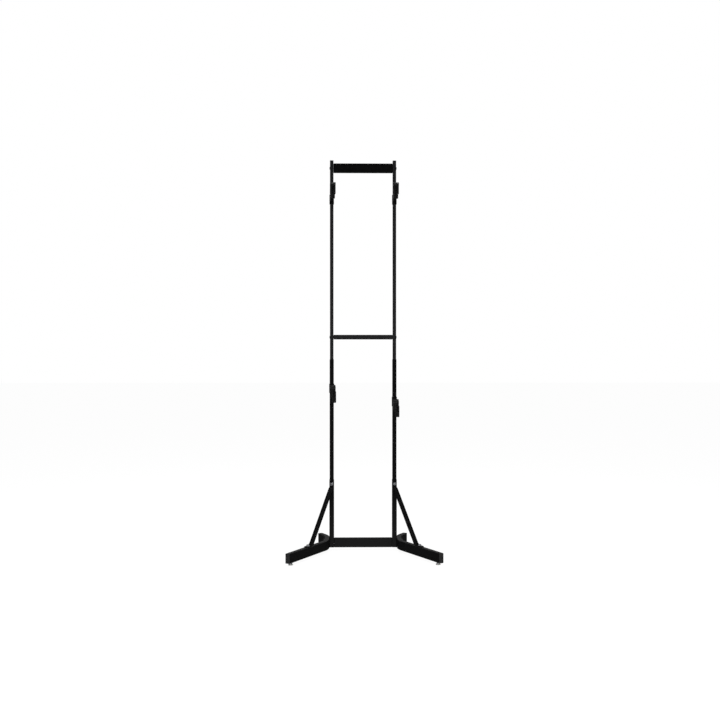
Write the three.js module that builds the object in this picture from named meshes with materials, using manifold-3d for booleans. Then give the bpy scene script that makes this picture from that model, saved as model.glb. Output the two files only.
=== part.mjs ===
// Two tier bike rack: a free-standing steel frame that stores two bicycles, one above the other.
// Millimetres. +Z is up, the arms point towards -Y, and +X is to the right seen from the arms' side.
// The origin is on the floor, under the middle of the rack's outline.
import * as THREE from "three";
import { mergeVertices } from "three/addons/utils/BufferGeometryUtils.js";
import Module from "manifold-3d";

// Fits, shared by all pieces
const seatGap = 0.3;
const cutOverrun = 2;
const boltHoleClearance = 0.4;

// Uprights: a short base post, a slimmer tube pushed into it, and a still slimmer one in that
const uprightSpacing = 340;
const basePostSide = 25.4;
const basePostWall = 1.2;
const basePostTop = 378;
const basePostOverlap = 160;
const lowerTubeWall = 1.2;
const tubeCornerRadius = 2.5;
const footClearance = 12;
const lowerTubeTop = 1030;
const telescopeClearance = 0.4;
const telescopeOverlap = 120;
const upperTubeWall = 1.5;
const upperTubeTop = 2105;
const topCapThickness = 3;
const plugDepth = 14;
const plugClearance = 0.4;
const capBevel = 1.2;

// Feet: one bent rectangular tube on each side
const footTubeWidth = 25;
const footTubeHeight = 50;
const footTubeWall = 2;
const footMiddleLength = 60;
const footBendRadius = 130;
const footBendAngle = THREE.MathUtils.degToRad(29.4);
const footFrontLength = 350;
const footRearLength = 48;
const footCapThickness = 2.5;
const footWeldDepth = 0.3;

// Levelling feet
const levelerInset = 26;
const levelerStudDiameter = 8;
const levelerPadDiameter = 25;
const levelerPadThickness = 4.5;
const levelerRimThickness = 2;
const levelerHexAcross = 15;
const levelerHexHeight = 5;
const levelerStudLength = 34;
const levelerNutAcross = 15;
const levelerNutHeight = 7;

// Cross members
const baseBeamHeight = 50;
const baseBeamDepth = 25;
const crossBarHeight = 25;
const crossBarBottom = 1138;
const signPlateHeight = 50;
const signPlateTopMargin = 13;
const crossMemberWall = 2;
const endPlateThickness = 4;
const endPlateMargin = 1.5;

// Braces: square tube with both ends crimped flat
const braceTubeSide = 19;
const braceCornerRadius = 2.5;
const braceTabWidth = 24;
const braceTabThickness = 4;
const braceTabCornerRadius = 1.5;
const braceUpperBoltHeight = 356;
const braceUpperTabLength = 28;
const braceUpperCrimpLength = 15;
const braceFootDistance = 124;
const braceFootRise = 8;
const braceLowerCrimpLength = 16;
const braceLowerTabLength = 38;

// Fasteners
const boltDiameter = 8;
const boltHeadAcross = 13;
const boltHeadHeight = 5.3;
const washerDiameter = 17;
const washerThickness = 1.6;
const nutHeight = 6.5;
const capHeadDiameter = 15;
const capHeadHeight = 2.2;
const baseBoltSpacing = 24;
const telescopeBoltDrop = 30;

// Arms: a sleeve round the upright with a bar welded to it
const slideClearance = 0.4;
const sleeveWall = 2.2;
const sleeveHeight = 50;
const sleeveTopAboveContact = 10;
const armBarSide = 18;
const armBarWall = 2;
const armBarBelowContact = 16;
const contactReach = 340;
const armToeIn = THREE.MathUtils.degToRad(1.7);
const upperContactDrop = 193;
const lowerLeftContactHeight = 888;
const lowerRightContactHeight = 816;

// Cradles: rubber-coated saddles on the ends of the arms
const cradleWidth = 28.5;
const cradleBevel = 2.5;
const troughRadius = 20;
const frontLipHeight = 10;
const rearLipHeight = 14;
const frontLipThickness = 9;
const cradleRubber = 5;
const cradleChinDrop = 48;
const cradleChinLength = 12;
const cradleRearLength = 24;
const rearLipThickness = 8;
const socketClearance = 0.3;

// Straps: rubber ladder straps that hang from a pin in front of the cradle
const strapPinDiameter = 4;
const strapPinDrop = 2;
const strapPinStandoff = 6;
const earRadius = 5;
const earThickness = 3;
const strapWidth = 21;
const strapThickness = 4;
const strapKnuckleRadius = 4.2;
const strapDrop = 74;
const strapHoleCount = 4;
const strapHoleWidth = 9.4;
const strapHoleHeight = 5.4;
const strapHolePitch = 9.5;
const strapHoleStart = 13;
const strapEndRadius = 3;
const lowerStrapSway = 6;
const strapSwayLength = 14;
const strapButtonDiameter = 9;
const strapButtonNeckDiameter = 5;
const strapButtonNeckLength = 5;
const strapButtonHeadThickness = 2.5;

// Clamp knobs
const clampBossAcross = 14;
const clampBossLength = 7;
const clampStudDiameter = 8;
const knobStandoff = 3;
const knobDiameter = 26;
const knobThickness = 13;
const knobBevel = 2;
const knobLobeCount = 5;
const knobLobeShare = 0.09;

// Roundness of the facets
const cornerSteps = 1;
const roundSteps = 12;
const shankSteps = 8;
const arcSteps = 3;
const slotSteps = 2;
const bendSteps = 5;
const bevelSteps = 1;
const hexSides = 6;
const lobeSteps = 5;

// Worked out from the sizes above
const lowerTubeSide = basePostSide - 2 * (basePostWall + telescopeClearance);
const upperTubeSide = lowerTubeSide - 2 * (lowerTubeWall + telescopeClearance);
const uprightX = uprightSpacing / 2;
const uprightY = ((footFrontLength - footRearLength) * Math.cos(footBendAngle)) / 2;
const footX = (basePostSide + footTubeWidth) / 2 - footWeldDepth;
const footTop = footClearance + footTubeHeight;
const footMiddleHeight = footClearance + footTubeHeight / 2;
const upperContactHeight = upperTubeTop - upperContactDrop;

const finishes = {
  lowerPaint: { color: 0x101010, roughness: 0.42, metalness: 0.1 },
  upperPaint: { color: 0x1d1d1f, roughness: 0.5, metalness: 0.1 },
  zinc: { color: 0x8c8f92, roughness: 0.35, metalness: 0.9 },
  plastic: { color: 0x141414, roughness: 0.55, metalness: 0 },
  nylon: { color: 0xb9bab8, roughness: 0.5, metalness: 0 },
  coating: { color: 0x161616, roughness: 0.7, metalness: 0 },
  strapRubber: { color: 0x0f0f0f, roughness: 0.6, metalness: 0 },
};

const wasm = await Module();
wasm.setup();

// One named sub-part with its own material
function part(name, geometry, finish) {
  const mesh = new THREE.Mesh(geometry, new THREE.MeshStandardMaterial(finish));
  mesh.name = name;
  return mesh;
}

function toSolid(geometry) {
  const plain = geometry.clone();
  plain.deleteAttribute("normal");
  plain.deleteAttribute("uv");
  const merged = mergeVertices(plain);
  return new wasm.Manifold(
    new wasm.Mesh({
      numProp: 3,
      vertProperties: merged.attributes.position.array,
      triVerts: new Uint32Array(merged.index.array),
    }),
  );
}

function toGeometry(solid) {
  const mesh = solid.getMesh();
  const geometry = new THREE.BufferGeometry();
  geometry.setAttribute("position", new THREE.BufferAttribute(mesh.vertProperties, mesh.numProp));
  geometry.setIndex(new THREE.BufferAttribute(mesh.triVerts, 1));
  geometry.computeVertexNormals();
  return geometry;
}

function join(first, ...others) {
  return toGeometry(others.reduce((solid, other) => solid.add(toSolid(other)), toSolid(first)));
}

function cut(body, ...tools) {
  return toGeometry(tools.reduce((solid, tool) => solid.subtract(toSolid(tool)), toSolid(body)));
}

// A rectangle with round corners, centred on the origin
function roundedRectangle(width, height, radius) {
  const x = width / 2 - radius;
  const y = height / 2 - radius;
  const shape = new THREE.Shape();
  shape.absarc(x, y, radius, 0, Math.PI / 2);
  shape.absarc(-x, y, radius, Math.PI / 2, Math.PI);
  shape.absarc(-x, -y, radius, Math.PI, 1.5 * Math.PI);
  shape.absarc(x, -y, radius, 1.5 * Math.PI, 2 * Math.PI);
  return shape;
}

// A straight prism of a flat shape that stands on z = 0
function prism(shape, length, curveSegments = cornerSteps) {
  return new THREE.ExtrudeGeometry(shape, { depth: length, bevelEnabled: false, curveSegments });
}

// A prism whose two ends are bevelled inside the given outline and length
function softPrism(shape, length, bevel, curveSegments = cornerSteps) {
  return new THREE.ExtrudeGeometry(shape, {
    depth: length - 2 * bevel,
    bevelThickness: bevel,
    bevelSize: bevel,
    bevelOffset: -bevel,
    bevelSegments: bevelSteps,
    curveSegments,
  }).translate(0, 0, bevel);
}

// A round bar along +Z that stands on z = 0
function rod(diameter, length, sides = roundSteps) {
  const bar = new THREE.CylinderGeometry(diameter / 2, diameter / 2, length, sides);
  return bar.rotateX(Math.PI / 2).translate(0, 0, length / 2);
}

// A hexagonal bar along +Z that stands on z = 0, measured across its flats
function hexBar(across, length) {
  return rod(across / Math.cos(Math.PI / hexSides), length, hexSides);
}

// A straight tube with both ends open that stands on z = 0
function openTube(width, depth, wall, radius, length) {
  const outer = prism(roundedRectangle(width, depth, radius), length);
  const innerShape = roundedRectangle(width - 2 * wall, depth - 2 * wall, radius - wall / 2);
  const inner = prism(innerShape, length + 2 * cutOverrun).translate(0, 0, -cutOverrun);
  return cut(outer, inner);
}

// Skins a row of convex rings, each a list of points, and closes both ends
function loft(rings) {
  const count = rings[0].length;
  const positions = rings.flat().flatMap((point) => point.toArray());
  const index = [];
  for (let ring = 0; ring + 1 < rings.length; ring += 1) {
    for (let step = 0; step < count; step += 1) {
      const a = ring * count + step;
      const b = ring * count + ((step + 1) % count);
      index.push(a, b, b + count);
      index.push(a, b + count, a + count);
    }
  }
  const last = (rings.length - 1) * count;
  for (let step = 1; step + 1 < count; step += 1) {
    index.push(0, step + 1, step);
    index.push(last, last + step, last + step + 1);
  }
  const geometry = new THREE.BufferGeometry();
  geometry.setAttribute("position", new THREE.Float32BufferAttribute(positions, 3));
  geometry.setIndex(index);
  return geometry;
}

// The points of a rounded rectangle that stands square to the travel direction
function ringAt(centre, across, travel, width, height, radius) {
  const up = new THREE.Vector3().crossVectors(travel, across);
  const outline = roundedRectangle(width, height, radius).getPoints(cornerSteps);
  const open = outline[0].distanceTo(outline.at(-1)) < seatGap / 2 ? outline.slice(0, -1) : outline;
  return open.map((point) =>
    centre.clone().addScaledVector(across, point.x).addScaledVector(up, point.y),
  );
}

// The direction of a foot's tube where it has turned by an angle from straight ahead
function footTravel(angle) {
  return new THREE.Vector3(Math.sin(angle), -Math.cos(angle), 0);
}

function footAcross(angle) {
  return new THREE.Vector3(Math.cos(angle), Math.sin(angle), 0);
}

// Stations along the right foot's centre line, seen from its upright's centre, from rear to front
function footStations(endExtension) {
  const bendX = footX + footBendRadius;
  const onBend = (angle, bendY) =>
    new THREE.Vector3(bendX, bendY, 0).addScaledVector(footAcross(angle), -footBendRadius);
  const stations = [];
  for (let step = 0; step <= bendSteps; step += 1) {
    const angle = (step / bendSteps - 1) * footBendAngle;
    stations.push({ place: onBend(angle, footMiddleLength / 2), angle });
  }
  for (let step = 0; step <= bendSteps; step += 1) {
    const angle = (step / bendSteps) * footBendAngle;
    stations.push({ place: onBend(angle, -footMiddleLength / 2), angle });
  }
  const rear = stations[0];
  const front = stations.at(-1);
  const rearEnd = rear.place
    .clone()
    .addScaledVector(footTravel(rear.angle), -footRearLength - endExtension);
  const frontEnd = front.place
    .clone()
    .addScaledVector(footTravel(front.angle), footFrontLength + endExtension);
  return [{ place: rearEnd, angle: rear.angle }, ...stations, { place: frontEnd, angle: front.angle }];
}

// A place on the straight front leg, at a distance past the bend, and on the rear leg likewise
function frontLegPoint(distance) {
  const bendEnd = footStations(0).at(-2);
  return bendEnd.place.clone().addScaledVector(footTravel(bendEnd.angle), distance);
}

function rearLegPoint(distance) {
  const bendEnd = footStations(0)[1];
  return bendEnd.place.clone().addScaledVector(footTravel(bendEnd.angle), -distance);
}

function footBody(width, height, radius, endExtension) {
  const rings = footStations(endExtension).map(({ place, angle }) =>
    ringAt(place, footAcross(angle), footTravel(angle), width, height, radius),
  );
  return loft(rings).translate(0, 0, footMiddleHeight);
}

// Where the levelling studs stand under a foot, seen from the upright's centre
const levelerPlaces = {
  front: frontLegPoint(footFrontLength - levelerInset),
  rear: rearLegPoint(footRearLength - levelerInset),
};

// Where the brace meets the leg
const braceTubeEnd = frontLegPoint(braceFootDistance);
const braceTabStart = frontLegPoint(braceFootDistance + braceLowerCrimpLength);
const braceTabEnd = frontLegPoint(braceFootDistance + braceLowerCrimpLength + braceLowerTabLength);
const braceLowerBolt = braceTabStart.clone().add(braceTabEnd).divideScalar(2);

const baseBoltHeights = [-baseBoltSpacing / 2, baseBoltSpacing / 2].map((z) => footMiddleHeight + z);

function boltHole(length) {
  return rod(boltDiameter + 2 * boltHoleClearance, length, shankSteps);
}

// The foot's tube, with the base post welded to its side
function footGeometry() {
  const outer = footBody(footTubeWidth, footTubeHeight, tubeCornerRadius, 0);
  const inner = footBody(
    footTubeWidth - 2 * footTubeWall,
    footTubeHeight - 2 * footTubeWall,
    tubeCornerRadius - footTubeWall / 2,
    cutOverrun,
  );
  const shell = cut(outer, inner);
  const studHoleDiameter = levelerStudDiameter + 2 * boltHoleClearance;
  const floor = footClearance + footTubeWall;
  const nuts = Object.values(levelerPlaces).map((place) =>
    hexBar(levelerNutAcross, levelerNutHeight + seatGap).translate(place.x, place.y, floor - seatGap),
  );
  const studHoles = Object.values(levelerPlaces).map((place) =>
    rod(studHoleDiameter, footTubeWall + levelerNutHeight + 2 * cutOverrun).translate(
      place.x,
      place.y,
      footClearance - cutOverrun,
    ),
  );
  const baseHoles = baseBoltHeights.map((z) =>
    boltHole(footTubeWidth + 2 * cutOverrun)
      .rotateY(Math.PI / 2)
      .translate(footX - footTubeWidth / 2 - cutOverrun, 0, z),
  );
  const braceHole = boltHole(footTubeWall + 2 * cutOverrun).translate(
    braceLowerBolt.x,
    braceLowerBolt.y,
    footTop - footTubeWall - cutOverrun,
  );
  const foot = cut(join(shell, ...nuts), ...studHoles, ...baseHoles, braceHole);
  return join(foot, basePostGeometry());
}

// A moulded end cap: a bevelled flange and a plug that goes into the tube, which ends at z = 0
function endCapGeometry(width, height, wall, thickness) {
  const flange = softPrism(roundedRectangle(width, height, tubeCornerRadius), 2 * thickness, capBevel);
  const halved = cut(
    flange.translate(0, 0, -thickness),
    new THREE.BoxGeometry(2 * width, 2 * height, thickness).translate(0, 0, -thickness / 2),
  );
  const plugWidth = width - 2 * (wall + plugClearance);
  const plugHeight = height - 2 * (wall + plugClearance);
  const plugShape = roundedRectangle(plugWidth, plugHeight, tubeCornerRadius - wall / 2);
  const plug = prism(plugShape, plugDepth + seatGap).translate(0, 0, -plugDepth);
  const coreShape = roundedRectangle(plugWidth - 2 * wall, plugHeight - 2 * wall, tubeCornerRadius / 2);
  const core = prism(coreShape, plugDepth).translate(0, 0, -plugDepth - seatGap);
  return cut(join(halved.translate(0, 0, seatGap), plug), core);
}

// Holes through an upright from side to side, at the heights given
function sideHoles(side, heights) {
  return heights.map((z) =>
    boltHole(side + 2 * cutOverrun)
      .rotateY(Math.PI / 2)
      .translate(-side / 2 - cutOverrun, 0, z),
  );
}

// A hole from front to back, from one depth to another
function depthHole(fromY, toY, z) {
  return boltHole(toY - fromY)
    .rotateX(-Math.PI / 2)
    .translate(0, fromY, z);
}

const telescopeBoltHeight = lowerTubeTop - telescopeBoltDrop;
const crossBarMiddle = crossBarBottom + crossBarHeight / 2;
const signPlateMiddle = upperTubeTop - signPlateTopMargin - signPlateHeight / 2;

function basePostGeometry() {
  const tube = openTube(
    basePostSide,
    basePostSide,
    basePostWall,
    tubeCornerRadius,
    basePostTop - footClearance,
  ).translate(0, 0, footClearance);
  const reach = basePostSide / 2 + cutOverrun;
  return cut(
    tube,
    ...sideHoles(basePostSide, baseBoltHeights),
    depthHole(-reach, reach, braceUpperBoltHeight),
  );
}

function lowerUprightGeometry() {
  const bottom = basePostTop - basePostOverlap;
  const tube = openTube(
    lowerTubeSide,
    lowerTubeSide,
    lowerTubeWall,
    tubeCornerRadius - telescopeClearance,
    lowerTubeTop - bottom,
  ).translate(0, 0, bottom);
  const reach = lowerTubeSide / 2 + cutOverrun;
  return cut(
    tube,
    depthHole(-reach, reach, braceUpperBoltHeight),
    depthHole(0, reach, telescopeBoltHeight),
  );
}

function upperUprightGeometry() {
  const bottom = lowerTubeTop - telescopeOverlap;
  const tube = openTube(
    upperTubeSide,
    upperTubeSide,
    upperTubeWall,
    tubeCornerRadius - telescopeClearance,
    upperTubeTop - bottom,
  ).translate(0, 0, bottom);
  return cut(
    tube,
    ...sideHoles(upperTubeSide, [crossBarMiddle, signPlateMiddle]),
    depthHole(0, upperTubeSide / 2 + cutOverrun, telescopeBoltHeight),
  );
}

// A cross member along X: a rectangular tube with a plate welded on each end
function crossMemberGeometry(height, depth, tubeSide, boltHeights) {
  const length = uprightSpacing - tubeSide - 2 * seatGap;
  const tube = openTube(height, depth, crossMemberWall, tubeCornerRadius, length - endPlateThickness);
  const plateShape = roundedRectangle(
    height - 2 * endPlateMargin,
    depth - 2 * endPlateMargin,
    tubeCornerRadius,
  );
  const plate = prism(plateShape, endPlateThickness);
  const farPlate = plate.clone().translate(0, 0, length - endPlateThickness);
  const body = join(tube.translate(0, 0, endPlateThickness / 2), plate, farPlate)
    .translate(0, 0, -length / 2)
    .rotateY(Math.PI / 2);
  const holes = boltHeights.map((z) =>
    boltHole(length + 2 * cutOverrun)
      .rotateY(Math.PI / 2)
      .translate(-length / 2 - cutOverrun, 0, z),
  );
  return cut(body, ...holes);
}

function washerAndHexHead() {
  const washer = rod(washerDiameter, washerThickness);
  const head = hexBar(boltHeadAcross, boltHeadHeight).translate(0, 0, washerThickness - seatGap);
  return join(washer, head);
}

// A low round head, for the bolts whose heads stand on the narrow upper uprights
function capHead() {
  return rod(capHeadDiameter, capHeadHeight);
}

// A bolt along -Z from its seat at z = 0, with its nut at the far end of the grip
function boltGeometry(grip, head) {
  const tail = nutHeight + boltHoleClearance;
  const shankLength = grip + tail + 2 * seatGap;
  const shank = rod(boltDiameter, shankLength, shankSteps).translate(0, 0, -grip - tail);
  const nut = hexBar(boltHeadAcross, nutHeight).translate(0, 0, -grip - seatGap - nutHeight);
  return join(shank, head.translate(0, 0, seatGap), nut);
}

const upperTabY = -basePostSide / 2 - seatGap - braceTabThickness / 2;

// The right brace, seen from its upright's centre
function braceGeometry() {
  const down = new THREE.Vector3(0, 0, -1);
  const tabTop = braceUpperBoltHeight + braceUpperTabLength / 2;
  const tabBottom = tabTop - braceUpperTabLength;
  const tabPlace = (z) => new THREE.Vector3(0, upperTabY, z);
  const tubeEnd = braceTubeEnd.clone().setZ(footTop + seatGap + braceFootRise);
  const heading = tubeEnd.clone().setZ(0).sub(tabPlace(0)).normalize();
  const standoff = (braceTubeSide * Math.SQRT2 - braceTabThickness) / 2 / -heading.y;
  const tubeStart = tabPlace(tabBottom - braceUpperCrimpLength).addScaledVector(heading, standoff);
  const along = tubeEnd.clone().sub(tubeStart).normalize();
  const across = new THREE.Vector3(heading.y, -heading.x, 0);
  const tabAcross = new THREE.Vector3(-1, 0, 0);
  const legAlong = footTravel(footBendAngle);
  const legAcross = footAcross(footBendAngle).negate();
  const onLeg = (point) => point.clone().setZ(footTop + seatGap + braceTabThickness / 2);
  const tube = [braceTubeSide, braceTubeSide, braceCornerRadius];
  const tab = [braceTabWidth, braceTabThickness, braceTabCornerRadius];
  const body = loft([
    ringAt(tabPlace(tabTop), tabAcross, down, ...tab),
    ringAt(tabPlace(tabBottom), tabAcross, down, ...tab),
    ringAt(tubeStart, across, along, ...tube),
    ringAt(tubeEnd, across, along, ...tube),
    ringAt(onLeg(braceTabStart), legAcross, legAlong, ...tab),
    ringAt(onLeg(braceTabEnd), legAcross, legAlong, ...tab),
  ]);
  const lowerHole = boltHole(braceTabThickness + 2 * cutOverrun).translate(
    braceLowerBolt.x,
    braceLowerBolt.y,
    footTop - cutOverrun,
  );
  const upperHole = depthHole(
    upperTabY - braceTabThickness / 2 - cutOverrun,
    upperTabY + braceTabThickness / 2 + cutOverrun,
    braceUpperBoltHeight,
  );
  return cut(body, lowerHole, upperHole);
}

// A levelling stud with its hexagon, standing in the pad at z = 0
function levelerStudGeometry() {
  const hexBottom = levelerPadThickness + seatGap;
  const hex = hexBar(levelerHexAcross, levelerHexHeight).translate(0, 0, hexBottom);
  const stud = rod(levelerStudDiameter, levelerStudLength).translate(0, 0, levelerRimThickness);
  return join(hex, stud);
}

function levelerPadGeometry() {
  const outer = levelerPadDiameter / 2;
  const neck = (levelerHexAcross + levelerPadDiameter) / 4;
  const bore = levelerStudDiameter / 2 + seatGap;
  const floor = levelerRimThickness - seatGap;
  const profile = [
    new THREE.Vector2(0, 0),
    new THREE.Vector2(outer - capBevel / 2, 0),
    new THREE.Vector2(outer, capBevel / 2),
    new THREE.Vector2(outer, levelerRimThickness),
    new THREE.Vector2(neck, levelerPadThickness),
    new THREE.Vector2(bore, levelerPadThickness),
    new THREE.Vector2(bore, floor),
    new THREE.Vector2(0, floor),
  ];
  return new THREE.LatheGeometry(profile, roundSteps).rotateX(Math.PI / 2);
}

// The arms. Their pieces are built round the contact point of their upright:
// z = 0 is where the bicycle's tube rests, and x = y = 0 is the upright's centre line.
const barMiddle = -armBarBelowContact - armBarSide / 2;

function sleeveOuterSide(tubeSide) {
  return tubeSide + 2 * (slideClearance + sleeveWall);
}

// How far in front of the upright's centre line the bicycle's tube rests
function contactDistance(tubeSide) {
  return contactReach + tubeSide / 2;
}

// The cradle's front and rear faces and its bar's tip, forward of the contact point
const lipFront = Math.sqrt(troughRadius ** 2 - (troughRadius - frontLipHeight) ** 2) + frontLipThickness;
const troughRearEdge = -Math.sqrt(troughRadius ** 2 - (troughRadius - rearLipHeight) ** 2);
const rearFace = troughRearEdge - rearLipThickness;
const barTip = troughRadius / 2;

function armGeometry(tubeSide) {
  const outerSide = sleeveOuterSide(tubeSide);
  const sleeveBottom = sleeveTopAboveContact - sleeveHeight;
  const sleeve = openTube(outerSide, outerSide, sleeveWall, tubeCornerRadius, sleeveHeight).translate(
    0,
    0,
    sleeveBottom,
  );
  const boss = hexBar(clampBossAcross, clampBossLength + sleeveWall / 2)
    .rotateX(-Math.PI / 2)
    .translate(0, (outerSide - sleeveWall) / 2, sleeveBottom + sleeveHeight / 2);
  const boreDiameter = clampStudDiameter + 2 * boltHoleClearance;
  const bore = rod(boreDiameter, clampBossLength + sleeveWall + 2 * cutOverrun)
    .rotateX(-Math.PI / 2)
    .translate(0, outerSide / 2 - sleeveWall - cutOverrun, sleeveBottom + sleeveHeight / 2);
  const barStart = outerSide / 2 - sleeveWall / 2;
  const barEnd = contactDistance(tubeSide) + barTip;
  const bar = openTube(armBarSide, armBarSide, armBarWall, tubeCornerRadius, barEnd - barStart)
    .rotateX(Math.PI / 2)
    .translate(0, -barStart, barMiddle)
    .rotateZ(-armToeIn);
  return cut(join(sleeve, bar, boss), bore);
}

// The cradle's side outline: x runs forward from the contact point and y is its height above it
function cradleOutline() {
  const frontAngle = Math.asin((frontLipHeight - troughRadius) / troughRadius);
  const rearAngle = -Math.PI - Math.asin((rearLipHeight - troughRadius) / troughRadius);
  const lipRadius = frontLipThickness / 2;
  const underBar = barMiddle - armBarSide / 2 - cradleRubber;
  const overBar = barMiddle + armBarSide / 2 + cradleRubber;
  const chinRadius = cradleChinLength / 2;
  const rearEnd = rearFace - cradleRearLength;
  const outline = new THREE.Shape();
  outline.moveTo(rearEnd, underBar);
  outline.lineTo(lipFront - 2 * cradleChinLength, underBar);
  outline.lineTo(lipFront - cradleChinLength, -cradleChinDrop);
  outline.lineTo(lipFront - chinRadius, -cradleChinDrop);
  outline.absarc(lipFront - chinRadius, chinRadius - cradleChinDrop, chinRadius, 1.5 * Math.PI, 2 * Math.PI);
  outline.lineTo(lipFront, frontLipHeight - lipRadius);
  outline.absarc(lipFront - lipRadius, frontLipHeight - lipRadius, lipRadius, 0, Math.PI / 2);
  outline.absarc(0, troughRadius, troughRadius, frontAngle, rearAngle, true);
  outline.lineTo(rearFace + rearLipThickness / 2, rearLipHeight);
  outline.lineTo(rearFace, rearLipHeight - rearLipThickness / 2);
  outline.lineTo(rearFace, overBar + cradleRubber);
  outline.lineTo(rearFace - cradleRubber, overBar);
  outline.lineTo(rearEnd, overBar);
  outline.closePath();
  return outline;
}

const strapPinForward = lipFront + strapPinStandoff;

function cradleGeometry() {
  const body = softPrism(cradleOutline(), cradleWidth, cradleBevel, arcSteps).translate(
    0,
    0,
    -cradleWidth / 2,
  );
  const ears = [-1, 1].map((end) => {
    const ear = new THREE.Shape();
    ear.absarc(strapPinForward, -strapPinDrop, earRadius, -Math.PI / 2, Math.PI / 2);
    ear.lineTo(lipFront - frontLipThickness / 2, earRadius - strapPinDrop);
    ear.lineTo(lipFront - frontLipThickness / 2, -earRadius - strapPinDrop);
    ear.closePath();
    const middle = end * ((cradleWidth - earThickness) / 2);
    return prism(ear, earThickness, arcSteps).translate(0, 0, middle - earThickness / 2);
  });
  const pinHole = rod(strapPinDiameter + 2 * seatGap, cradleWidth + 2 * cutOverrun).translate(
    strapPinForward,
    -strapPinDrop,
    -cradleWidth / 2 - cutOverrun,
  );
  const socketSide = armBarSide + 2 * socketClearance;
  const socketLength = troughRadius + rearLipThickness + cradleRearLength + troughRadius;
  const socket = new THREE.BoxGeometry(socketLength, socketSide, socketSide).translate(
    barTip + socketClearance - socketLength / 2,
    barMiddle,
    0,
  );
  const neck = rod(strapButtonNeckDiameter, strapButtonNeckLength + cradleBevel)
    .rotateY(-Math.PI / 2)
    .translate(rearFace + cradleBevel, 0, 0);
  const buttonHead = rod(strapButtonDiameter, strapButtonHeadThickness)
    .rotateY(-Math.PI / 2)
    .translate(rearFace - strapButtonNeckLength, 0, 0);
  return cut(join(body, ...ears, neck, buttonHead), pinHole, socket);
}

// The strap hangs from its pin, which is at the origin here, with x across and y up
function strapGeometry(sway) {
  const length = strapDrop - strapPinDrop;
  const swayStart = earRadius + seatGap;
  const swayAt = (drop) => sway * THREE.MathUtils.smoothstep(drop, swayStart, swayStart + strapSwayLength);
  const edge = [];
  for (let step = 0; step <= bendSteps; step += 1) {
    const drop = swayStart + (step / bendSteps) * strapSwayLength;
    edge.push(new THREE.Vector2(swayAt(drop), -drop));
  }
  const half = strapWidth / 2;
  const outline = new THREE.Shape();
  outline.moveTo(half, 0);
  outline.lineTo(-half, 0);
  edge.forEach((point) => outline.lineTo(point.x - half, point.y));
  outline.lineTo(sway - half, strapEndRadius - length);
  outline.lineTo(sway - half + strapEndRadius, -length);
  outline.lineTo(sway + half - strapEndRadius, -length);
  outline.lineTo(sway + half, strapEndRadius - length);
  edge.reverse().forEach((point) => outline.lineTo(point.x + half, point.y));
  outline.closePath();
  for (let hole = 0; hole < strapHoleCount; hole += 1) {
    const middle = -strapHoleStart - hole * strapHolePitch;
    const slot = new THREE.Path();
    const reach = (strapHoleWidth - strapHoleHeight) / 2;
    const shift = swayAt(-middle);
    slot.absarc(shift + reach, middle, strapHoleHeight / 2, -Math.PI / 2, Math.PI / 2);
    slot.absarc(shift - reach, middle, strapHoleHeight / 2, Math.PI / 2, 1.5 * Math.PI);
    slot.closePath();
    outline.holes.push(slot);
  }
  const band = prism(outline, strapThickness, slotSteps)
    .translate(0, 0, -strapThickness / 2)
    .rotateX(Math.PI / 2);
  const knuckle = rod(2 * strapKnuckleRadius, strapWidth)
    .rotateY(Math.PI / 2)
    .translate(-half, 0, 0);
  const bore = rod(strapPinDiameter + 2 * seatGap, strapWidth + 2 * cutOverrun)
    .rotateY(Math.PI / 2)
    .translate(-half - cutOverrun, 0, 0);
  return cut(join(band, knuckle), bore);
}

// A lobed knob on a stud, along +Y, whose stud tip is at y = 0
function knobGeometry() {
  const studLength = slideClearance + sleeveWall + clampBossLength + knobStandoff - seatGap;
  const outline = new THREE.Shape();
  const steps = knobLobeCount * lobeSteps;
  for (let step = 0; step < steps; step += 1) {
    const angle = (step / steps) * 2 * Math.PI;
    const wave = knobLobeShare * (Math.cos(knobLobeCount * angle) - 1);
    const radius = (knobDiameter / 2) * (1 + wave);
    const place = new THREE.Vector2(radius * Math.cos(angle), radius * Math.sin(angle));
    if (step === 0) outline.moveTo(place.x, place.y);
    else outline.lineTo(place.x, place.y);
  }
  outline.closePath();
  const grip = softPrism(outline, knobThickness, knobBevel).translate(0, 0, studLength);
  const stud = rod(clampStudDiameter, studLength + knobBevel);
  return join(grip, stud).rotateX(-Math.PI / 2);
}

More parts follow.
